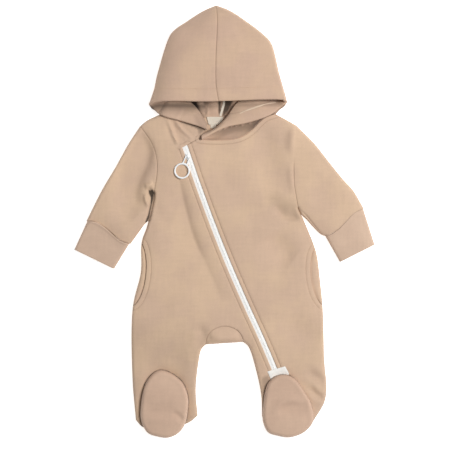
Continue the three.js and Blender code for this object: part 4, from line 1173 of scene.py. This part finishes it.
def cuff_heights(side):
    """The cuff's top and underside: quarter circles up and down from its folded edges, then a low loft."""
    start, wrist = CUFF_PLAN[side]["start"], CUFF_PLAN[side]["wrist"]
    long_edges = [np.array([a, b], float) for a, b in zip(start, wrist)]

    def depth(x, y):
        return np.minimum(*[distance_to(edge, x, y)[0] for edge in long_edges])

    def over(x, y, _):
        d = depth(x, y)
        from_sleeve = distance_to(CUFF_SEAM[side], x, y)[0]
        ridge = CUFF_RIDGE[side] * bell(from_sleeve - 1.5, 1.9) + CUFF_STEP[side] * bell(from_sleeve, 10)
        waves = (0.3 * np.sin((x * 0.8 + y * 0.55) / 7.5) + ridge) * rounding(d, 8)
        return FOLD_LEVEL + 4 * nose(d, 4.5) + (CUFF_LOFT[side] - FOLD_LEVEL - 4) * rounding(d, 17) + waves

    def under(x, y, _):
        d = depth(x, y)
        return FOLD_LEVEL - 4 * nose(d, 4.5) - (FOLD_LEVEL - 4) * rounding(d, 9)

    return over, under


for side in ("right", "left"):
    wrist, start = (np.array(CUFF_PLAN[side][key], float) for key in ("wrist", "start"))
    seam_line = evenly(CUFF_SEAM[side])
    share = run_of(seam_line)[:, None] / run_of(seam_line)[-1]
    cuff_head = seam_line + (1 - share) * (start[0] - seam_line[0]) + share * (start[1] - seam_line[-1])
    long_edges = [np.array([start[k], wrist[k]]) for k in (0, 1)]
    plan = patch(cuff_head, evenly(wrist), *long_edges, graded(40), ROUND)
    over, under = cuff_heights(side)
    outer, inner, faces, inset = flattened_tube(
        plan, over, under, CUFF_CLOTH,
        lambda x, y, h=cuff_head, w=wrist: np.minimum(distance_to(h, x, y)[0], distance_to(w, x, y)[0]),
    )
    from_seam = distance_to(cuff_head, *outer[:, :2].T)[0]
    cuff = wall(f"cuff_{side}_ring", outer, inner, faces, CUFF_FLEECE, {"near_seam": closeness(from_seam)})
    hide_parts(f"cuff_{side}")

# ======================================================================== foot tops
# The top of each foot is an egg of fleece with the toes' fullness in it. It is sewn over the end of the
# leg and to the sole, and stands above the leg.
FOOT_PUFF = 9.0
FOOT_CREASES = [
    {"path": [(-132, -300), (-104, -304), (-62, -308)], "width": 9, "height": -1.8, "lean": 0.2},
    {"path": [(-84, -304), (-72, -312), (-62, -322)], "width": 4, "height": -1.4},
    {"path": [(78, -306), (90, -290), (104, -284), (120, -285)], "width": 5.5, "height": 1.4, "lean": 0.2},
    {"path": [(84, -304), (104, -298), (132, -296)], "width": 8, "height": -1.8, "lean": -0.2},
]


def foot_level(side):
    """Top of a foot: the leg's height and a dome inside the egg, with its folds."""
    def level(x, y, edge):
        d = depth_in(EGG[side], x, y).clip(0)
        dome = 0.86 * nose(d, 5) + 0.14 * rounding(d, 30) + 0.05 * bell(d - 5, 3)
        folds = sum(crease(x, y, **c) for c in FOOT_CREASES) * rounding(d, 14)
        return front_level(x, y, edge) + FOOT_PUFF * dome + folds
    return level


for side in ("right", "left"):
    top = lay_piece(
        f"foot_top_{side}_panel", [EGG[side]], lambda x, y, s=side: depth_in(EGG[s], x, y), foot_level(side),
        FOOT_FLEECE, spacing=2.2,
    )
    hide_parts(f"foot_top_{side}")

# ======================================================================== hood
# Two halves of fleece meet in a seam over the crown. The hood lies open upwards: the forehead part is on
# top, the back part on the table, and the cheeks turn over outwards along the neck. Its edge is hemmed.
HOOD_FLEECE = fleece("hood_fleece", colour(211, 180, 154), colour(205, 174, 152))
HOOD_MIDDLE_LEVEL = 8.45
HOOD_FRONT = 28.0
HOOD_CROWN = 23.0
HOOD_HEM = 20.0
HOOD_SIDE = {
    "right": spline([(-13.5, 346), (-32, 338), (-47, 329), (-62, 319), (-76.5, 309.5), (-86, 300), (-91, 290),
                     (-97.5, 271), (-103, 252), (-108.5, 232), (-112.5, 213), (-118, 196), (-121, 187)]),
    "left": spline([(-13.5, 346), (6, 338.5), (21, 330), (36, 319.5), (50, 309.5), (61.5, 300), (71.5, 290.5),
                    (77, 281), (80.5, 269), (83.5, 256), (87, 240), (92, 222), (97.5, 203), (100.5, 191)]),
}
HOOD_LOOP = {
    "right": spline([(-121, 187), (-116.5, 181), (-109, 176.5), (-104, 171)]),
    "left": spline([(100.5, 191), (96, 184.5), (88.5, 179), (82, 172)]),
}
CROWN_SEAM = spline([(-13.5, 346), (-11.5, 322), (-12.5, 290), (-13.8, 262), (-14, 232), (-13.4, 216),
                     (-9.5, 191.4)])
NAPE_SEAM = spline([(-13.5, 346), (-13.5, 167)])
FOREHEAD = {
    "right": spline([(-9.5, 191.4), (-26, 190.8), (-73, 191.6), (-104, 191.4), (-114.5, 190), (-121, 187)]),
    "left": spline([(-9.5, 191.4), (24, 192.4), (63, 193.8), (86, 193.8), (95.5, 192.8), (100.5, 191)]),
}
HOOD_WHOLE = outline_of(HOOD_SIDE["right"], (-126, 100), (103, 100), HOOD_SIDE["left"][::-1])


def hood_depth(x, y):
    return depth_in(HOOD_WHOLE, x, y)


def hood_sides(x, y):
    """Distances to the right and the left side fold, and a share that is 1 near the right one and 0 near
    the left, by a logistic curve of their difference."""
    right, left = (distance_to(HOOD_SIDE[side], x, y)[0] for side in ("right", "left"))
    return right, left, 1 / (1 + np.exp((right - left) / 10))


def hood_slopes(x, y):
    """How far the forehead part rises past its side folds, from 0 to 1: 1 - e^(-distance / 13) on the right
    side, which lies in a long slope, and a shallow parabola on the left."""
    right, left, share = hood_sides(x, y)
    long_slope = 0.82 * (1 - np.exp(-right / 13))
    shallow = 0.1 * (1 - (1 - left / 60).clip(0, 1) ** 2)
    return share * long_slope + (1 - share) * shallow


def hood_side_folds(x, y, edge):
    """The part of the rise taken by the rolled side folds: little on the right side, most on the left."""
    share = hood_sides(x, y)[2]
    return share * 0.18 * nose(edge, 5) + (1 - share) * 0.9 * nose(edge, 4)


hood_swell = softened(hood_slopes, (-135, 90), (112, 360), blur=2.5)
hood_floor_swell = softened(lambda x, y: rounding(hood_depth(x, y), 15), (-135, 90), (112, 360), blur=3.0)
HOOD_TOP_CREASES = [
    {"path": [(-96, 262), (-70, 286), (-40, 320)], "width": 16, "height": -2.0},
    {"path": [(60, 282), (36, 296), (14, 318)], "width": 14, "height": -1.6},
    {"path": [(-104, 222), (-60, 226), (-24, 218)], "width": 18, "height": -1.2},
    {"path": [(20, 226), (54, 240), (78, 236)], "width": 18, "height": -1.2},
]
HOOD_FLOOR_CREASES = [
    {"path": [(-43, 250), (-41, 200), (-31, 164)], "width": 7, "height": 9, "banks": 0},
    {"path": [(-18, 240), (-18, 205), (-18, 170)], "width": 8, "height": 6, "banks": 0},
    {"path": [(24, 250), (21, 212), (14, 180)], "width": 9, "height": 9, "banks": 0},
    {"path": [(52, 240), (50, 214), (44, 186)], "width": 10, "height": 7, "banks": 0},
    {"path": [(-66, 250), (-64, 214), (-56, 184)], "width": 10, "height": 6, "banks": 0},
]


def hood_top_level(x, y, edge):
    """The forehead part: up from the side folds, highest along its edge, lower at the crown."""
    rise = HOOD_FRONT + (HOOD_CROWN - HOOD_FRONT) * ((y - 191) / 110).clip(0, 1)
    folds = sum(crease(x, y, **c) for c in HOOD_TOP_CREASES) + ripple(x, y, 0.8)
    shape = hood_side_folds(x, y, edge) + hood_swell(x, y).clip(0, 1)
    return HOOD_MIDDLE_LEVEL + rise * shape + folds * rounding(edge, 20).clip(0, 1)


def hood_floor_level(x, y, edge):
    """The back part's underside: on the table, with upright folds above the nape."""
    rise = (HOOD_MIDDLE_LEVEL - 4) * (1 - hood_floor_swell(x, y).clip(0, 1)) + 4 * (1 - nose(edge, 6))
    folds = sum(crease(x, y, **c) for c in HOOD_FLOOR_CREASES) * rounding(edge, 20).clip(0, 1)
    return rise + folds


def hood_shell(side):
    """Forehead part and back part welded along the side fold, and which of the points are the forehead
    part's.
    """
    top_outline = outline_of(HOOD_SIDE[side], FOREHEAD[side][::-1], CROWN_SEAM[::-1])
    own_side = BACK_NECK[:, 0] < -13.6 if side == "right" else BACK_NECK[:, 0] > -13.4
    floor_neck = BACK_NECK[own_side][:: 1 if side == "right" else -1]
    floor_outline = outline_of(HOOD_SIDE[side], HOOD_LOOP[side], floor_neck, (-13.5, 167), NAPE_SEAM[::-1])
    sheets = []
    for outline, level, up in ((top_outline, hood_top_level, 1), (floor_outline, hood_floor_level, -1)):
        spots, triangles = cut_piece([outline], lambda x, y, o=outline: depth_in(o, x, y))
        x, y = spots.T
        edge = hood_depth(x, y).clip(0)
        edge[edge < 1e-6] = 0
        sheets.append((np.column_stack([x, y, level(x, y, edge)]), triangles[:, ::up]))
    (top, top_faces), (floor, floor_faces) = sheets
    base, faces, kept = weld(np.vstack([top, floor]), np.vstack([top_faces, floor_faces + len(top)]))
    return base, faces, kept < len(top)


def thick_hem(from_rim):
    """The cloth's thickness, nearly double up to the hem's stitching, where it is folded under."""
    return CLOTH * (1.9 - 0.9 * rounding(from_rim - HOOD_HEM + 1.5, 1.5).clip(0, 1))


def finish_hood_shell(side):
    """The shell's outer and inner face: thick at the hem, dipped at its seams and rounded at its rim."""
    base, faces, is_top = hood_shell(side)
    x, y = base[:, 0], base[:, 1]
    edge = hood_depth(x, y).clip(0)
    rim, crown, nape = (distance_to(line, x, y)[0] for line in (FOREHEAD[side], CROWN_SEAM, NAPE_SEAM))
    seam = np.where(is_top, crown, nape)
    thick = np.where(is_top & (rim < HOOD_HEM), thick_hem(rim), CLOTH)
    inner = base - out_from(base, faces) * thick[:, None]
    outer = base.copy()
    dip = SEAM_DIP * (1 - nose(seam, SEAM_ROLL)) + np.where(is_top, 2.2 * (1 - nose(rim, 2.6)), 0)
    outer[:, 2] += np.where(is_top, -1, 1) * dip * nose(edge, 8)
    inner[:, 2] += np.where(is_top, 1.2 * (1 - nose(rim, 1.8)) * nose(edge, 8), 0)
    from_stitches = np.where(is_top, np.abs(rim - HOOD_HEM) + 0.5, 99)
    return outer, inner, faces, {"near_seam": closeness(seam), "near_stitch": closeness(from_stitches)}


CHEEK = {
    "right": {
        "seam": [(-32, 151.5), (-44, 160), (-66, 166.5), (-88, 170.6), (-106, 174)],
        "fold": [(-30, 153), (-36.5, 165), (-43, 175), (-58, 190), (-82, 199), (-112, 195)],
        "rim": [(-28, 146.5), (-40, 151.5), (-66, 159.5), (-104, 171.5), (-121.5, 189.5)],
        "sink": 3.0,
        "lift": 1.5,
    },
    "left": {
        "seam": [(-41, 131.8), (-24, 130), (-4, 129.8), (14, 131.4), (29.7, 136.4), (43.2, 145.4),
                 (55.7, 158.4), (65.7, 166.6), (83, 174.5)],
        "fold": [(-36, 137), (-15.5, 146.5), (4.5, 165), (23, 189), (55, 201), (90, 193)],
        "rim": [(-36.5, 130.5), (-16, 142.4), (5, 151), (37, 157.6), (72, 169.8), (98.5, 189.5)],
        "sink": 8.0,
        "lift": 3.5,
    },
}
CHEEK_ROWS = 90
OVER_CHEEK = 26  # columns from the fold back over to the rim
CHEEK_NOSE = 2.4


def cheek_roll(side):
    """A cheek as a strip rolled over: from the neck seam under, round the fold by a half circle, and back
    over to the rim, where it ends in a small lip. Rows follow the three lines, columns the roll."""
    shares = np.linspace(0, 1, CHEEK_ROWS)
    seam, fold, rim = (along(smooth_line(CHEEK[side][key], 20), shares) for key in ("seam", "fold", "rim"))
    lower = 1 + 2.5 * rounding(shares - 0.7, 0.3).clip(0, 1)
    seam_low, fold_low, rim_low = (
        front_level(*line.T, edge_depth(*line.T).clip(0)) - lower for line in (seam, fold, rim)
    )
    fold_low = fold_low - 5.0 * rounding(shares - 0.3, 0.35).clip(0, 1)
    nose_radius = CHEEK_NOSE - 0.9 * rounding(shares - 0.75, 0.25).clip(0, 1)
    under, round_fold = np.linspace(0, 1, 12)[:-1], np.linspace(0, 1, 9)[:-1]
    over = np.linspace(0, 1, OVER_CHEEK)
    columns = []
    sink = CHEEK[side]["sink"] * rounding(np.minimum(shares, 1 - shares), 0.25).clip(0, 1)
    lift = CHEEK[side]["lift"] * rounding(np.minimum(shares, 1 - shares), 0.3).clip(0, 1)
    for t in under:
        spot = seam + (fold - seam) * t
        height = seam_low + (fold_low - seam_low) * t - sink * math.sin(math.pi * t**0.7)
        columns.append(np.column_stack([spot, height]))
    outwards = (fold - seam) / np.linalg.norm(fold - seam, axis=1)[:, None]
    for t in round_fold:
        angle = math.pi * t
        spot = fold + outwards * (nose_radius * math.sin(angle))[:, None]
        columns.append(np.column_stack([spot, fold_low + nose_radius * (1 - math.cos(angle))]))
    for t in over:
        spot = fold + (rim - fold) * t
        belly = 1.6 * np.sin(math.pi * t) * (1 - 0.6 * shares)
        height = (fold_low + 2 * nose_radius) * (1 - t) + (rim_low + 2 * CHEEK_NOSE + lift) * t
        columns.append(np.column_stack([spot, height + belly]))
    return np.stack(columns, axis=1), rim


def cheek_piece(side):
    """A cheek with its thickness to both sides of the roll, thin at the rim's lip and thick at the hem."""
    middle, rim = cheek_roll(side)
    rows, columns = middle.shape[:2]
    spots = middle.reshape(-1, 3)
    faces = grid_faces(rows, columns)
    normal = out_from(spots, faces)
    if (normal[columns - 3 :: columns, 2].mean()) < 0:
        faces, normal = faces[:, ::-1], -normal
    past_fold = np.tile(np.arange(columns) >= columns - OVER_CHEEK, rows)
    from_rim = np.where(past_fold, distance_to(rim, *spots[:, :2].T)[0], 99)
    half = (thick_hem(from_rim) / 2 * (0.3 + 0.7 * nose(from_rim, 2.2)))[:, None]
    marks = {"near_seam": 0 * from_rim, "near_stitch": closeness(np.abs(from_rim - HOOD_HEM) + 0.5)}
    return spots + normal * half, spots - normal * half, faces, marks


# Painted shade in the gap below the left cheek's edge goes only on cloth lower than this.
GAP_LEVEL = 15.0  # what lies lower than this below the left cheek's edge is in its gap
# Patches of painted shade between the folds above the nape.
HOOD_PAINTED_SHADE = (  # how dark, and its corners
    (0.9, [(-64, 200), (-47, 200), (-40, 180), (-32.5, 163), (-38, 166), (-48, 178)]),
    (0.5, [(-36, 200), (-26, 200), (-26, 182), (-29, 166), (-32, 180)]),
    (0.85, [(-10, 200), (-3.5, 200), (-5.5, 182), (-8.5, 168), (-10, 178)]),
    (0.85, [(0.5, 200), (16, 200), (7, 180), (-3, 167), (-3, 176)]),
)


def hood_painted_shade(x, y, z):
    """Painted shade in the hood's opening: under the forehead's edge, between the folds above the nape,
    beside the left cheek's fold, at the right cheek's tip and in the gap below the left cheek's edge. The
    forehead part is left as it is."""
    rim = np.minimum(*[distance_to(FOREHEAD[s], x, y)[0] for s in FOREHEAD])
    below_rim = y < np.interp(x, *np.vstack([FOREHEAD["right"][::-1], FOREHEAD["left"]]).T) + 1
    # Painted shadow of the forehead's edge, by the distance below it.
    on_right = np.interp(rim, [1.5, 2, 3, 4, 5, 6, 7, 9, 11, 13, 15, 17, 20, 25],
                         [0, 0.16, 0.43, 0.55, 0.63, 0.68, 0.68, 0.57, 0.42, 0.33, 0.23, 0.16, 0.1, 0])
    on_left = np.interp(rim, [3, 4, 5, 6, 7, 9, 11, 13], [0, 0.13, 0.25, 0.32, 0.32, 0.22, 0.1, 0])
    under_rim = np.where(x < -30, on_right, on_left)
    cheek_rim = distance_to(smooth_line(CHEEK["left"]["rim"], 20), x, y)[0]
    below = y < np.interp(x, *np.array(CHEEK["left"]["rim"]).T)
    gap = np.interp(cheek_rim, [0, 3, 7, 10, 13, 15], [0.5, 0.5, 0.45, 0.34, 0.1, 0])
    gap *= np.interp(x, [-30, 0, 40, 60], [0.25, 1, 1, 0.6]) * (below & (x > -35) & (z < GAP_LEVEL))
    folds = [share * inside_softly(corners, x, y, 3.0) * (z < 12) for share, corners in HOOD_PAINTED_SHADE]
    left_fold = distance_to(smooth_line(CHEEK["left"]["fold"], 20), x, y)[0]
    turn = 0.25 * np.exp(-left_fold / 9) * (z > 12) * np.interp(x, [0, 20], [0, 1]) * below_rim
    tip = 0.2 * inside_softly([(-52, 172), (-30, 176), (-22, 152), (-24, 142), (-42, 152)], x, y, 9.0)
    return np.maximum.reduce([under_rim * below_rim, gap, turn, tip, *folds]) * (y < 200)


for side in ("right", "left"):
    points, faces, marks, start = [], [], {"near_seam": [], "near_stitch": []}, 0
    for outer, inner, outer_faces, mark in (finish_hood_shell(side), cheek_piece(side)):
        count = len(outer)
        for part in (outer_faces, outer_faces[:, ::-1] + count, rim_of(outer_faces, count)):
            faces += (part + start).tolist()
        points += [outer, inner]
        marks["near_seam"] += [mark["near_seam"], 0 * mark["near_seam"]]
        marks["near_stitch"] += [mark["near_stitch"]] * 2
        start += 2 * count
    marks = {key: np.concatenate(values) for key, values in marks.items()}
    hood = make_piece(f"hood_{side}_half", np.vstack(points), faces, HOOD_FLEECE, marks)
    # Painted shade in the hood's opening.
    paint_shade(hood, hood_painted_shade)
    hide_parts(f"hood_{side}")

# ======================================================================== tape and labels
# A cream cotton tape covers the hood's seam inside, and a pale binding part of the left cheek's hem. A
# bare woven label and a small tab are sewn inside the back of the neck, and a bare white tab at the
# zip's lower end, tucked under the left foot's seam.
cotton = Finish("cream_cotton")
cotton_weave = cotton.noise(2400, 2, (1, 0.5, 1))
cotton_tone = cotton.mix(cotton_weave, colour(236, 226, 210), colour(214, 202, 184))
cotton.surface({"Base Color": cotton_tone, "Roughness": 0.85}, cotton_weave * 0.2, MM)

SEAM_TAPE_WIDTH = 3.4
SEAM_TAPE = 0.6
nape = smooth_line([(-13.5, 335), (-13.5, 260), (-9, 215), (-0.8, 192), (-3.4, 180), (-6.5, 169)])
nape = evenly(nape, 2.5)
offsets = np.linspace(-SEAM_TAPE_WIDTH / 2, SEAM_TAPE_WIDTH / 2, 9)
strip = np.stack([beside(nape, offset) for offset in offsets], axis=1).reshape(-1, 2)
strip = np.column_stack([strip, hood_floor_level(*strip.T, hood_depth(*strip.T)) + CLOTH + 1.1])
strip_faces = grid_faces(len(nape), len(offsets))[:, ::-1]
seam_tape = wall("hood_seam_tape", strip, strip - (0, 0, SEAM_TAPE), strip_faces, cotton.material)

ecru = Finish("ecru_binding")
ecru_weave = ecru.noise(2200, 2, (1, 0.5, 1))
ecru_tone = ecru.mix(ecru_weave, colour(226, 204, 180), colour(214, 190, 166))
ecru.surface({"Base Color": ecru_tone, "Roughness": 0.9}, ecru_weave * 0.2, MM)
binding_path = cheek_roll("left")[0][44:82, -14] + (0, 0, 1.3)
binding = make_piece("hood_left_binding", *tube(binding_path, 2.0, sides=12, flatten=0.3), ecru.material)

satin = Finish("white_woven_label")
satin_weave = satin.node(
    "ShaderNodeTexWave", {"bands_direction": "Y"}, {"Vector": satin.place(), "Scale": 700},
)
satin_tone = satin.mix(satin_weave, colour(252, 250, 246), colour(240, 236, 229))
satin.surface({"Base Color": satin_tone, "Roughness": 0.6}, satin_weave * 0.06, MM)


def label_patch(name, middle, width, length, level, thickness, curl, narrowing, finish):
    """A small flat label: a grid whose side edges curl up by a parabola. Its lower edge may be narrower."""
    u, w = np.meshgrid(np.linspace(-1, 1, 25), np.linspace(-1, 1, 15), indexing="ij")
    x, y = middle[0] + u * width / 2 * (1 - narrowing * (1 - w) / 2), middle[1] + w * length / 2
    z = level + curl * u**2 + 0.25 * np.sin(3 * u) * np.cos(2 * w)
    top = np.column_stack([x.ravel(), y.ravel(), z.ravel()])
    return wall(name, top, top - (0, 0, thickness), grid_faces(25, 15)[:, ::-1], finish)


neck_label = label_patch("neck_label_patch", (-15.0, 161.6), 27, 12.5, 3.9, 0.8, 0.6, 0.24, cotton.material)
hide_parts("neck_label")
size_tab = label_patch("neck_size_tab", (-18, 152.8), 9, 5.5, 3.4, 0.5, 0.2, 0, cotton.material)

zip_label_corners = np.array([(68.6, -240), (74, -252), (101, -252), (102.9, -243), (96.8, -231.7)])
zip_label_sides = zip(zip_label_corners, np.roll(zip_label_corners, -1, axis=0))
ZIP_LABEL = outline_of(*[evenly(np.array(side), 2) for side in zip_label_sides])
label_base = lay_piece(
    "zip_label_tab", [ZIP_LABEL, CUT_AWAY["left"]],
    lambda x, y: np.minimum(depth_in(ZIP_LABEL, x, y), beyond(CUT_AWAY["left"], x, y, 0)),
    lambda x, y, edge: front_level(x, y, edge) + 1.2, satin.material, thickness=0.8, spacing=1.8,
)
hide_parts("zip_label")

# ======================================================================== stitching
# The fleece is topstitched in matching thread along the zip, the neck, the pocket mouths and the hem of
# the hood. The stitches sink a little into the cloth.
thread = Finish("matching_thread")
ply = thread.noise(1800, 2)
thread_tone = thread.mix(ply, colour(212, 182, 155), colour(198, 168, 142))
thread.surface({"Base Color": thread_tone, "Roughness": 0.7}, ply * 0.05, MM)
STITCH_PITCH = 3.1
STITCH_HALF = 1.15
STITCH_RADIUS = 0.28


def stitch_row(name, line, level):
    """Stitches along a line, lying on a height."""
    middles = add_height(evenly(line, STITCH_PITCH), level)
    stitches = capsules(middles, np.gradient(middles, axis=0), STITCH_HALF, STITCH_RADIUS)
    row = make_piece(name, *stitches, thread.material)


def on_front(x, y):
    return topstitched_level(x, y, edge_depth(x, y).clip(0)) + 0.05


def on_hood(x, y):
    return hood_top_level(x, y, hood_depth(x, y)) + 0.05


def clear_of_foot(line):
    return line[depth_in(CUT_AWAY["left"], *line.T) < -1]


stitch_row("zip_stitching_left", clear_of_foot(beside(SLOT_LEFT, STITCH_INSET)), on_front)
stitch_row("zip_stitching_right", clear_of_foot(beside(SLOT_RIGHT, -STITCH_INSET)), on_front)
stitch_row("neck_stitching", beside(FRONT_NECK["left"], -STITCH_INSET)[:-3], on_front)
for side in ("right", "left"):
    mouth_line = oval(**POCKET[side], grow=STITCH_INSET + 1)
    shown = mouth_line[depth_in(FRONT_OUTLINE, *mouth_line.T) > 1.5]
    first = np.argmax(np.linalg.norm(shown - np.roll(shown, 1, axis=0), axis=1))
    stitch_row(f"pocket_{side}_stitching", np.roll(shown, -first, axis=0), on_front)
for side, sign in (("right", -1), ("left", 1)):
    hem_line = beside(FOREHEAD[side], sign * HOOD_HEM)
    hem_line = hem_line[hood_depth(*hem_line.T) > 4]
    stitch_row(f"hood_{side}_hem_stitching", hem_line, on_hood)
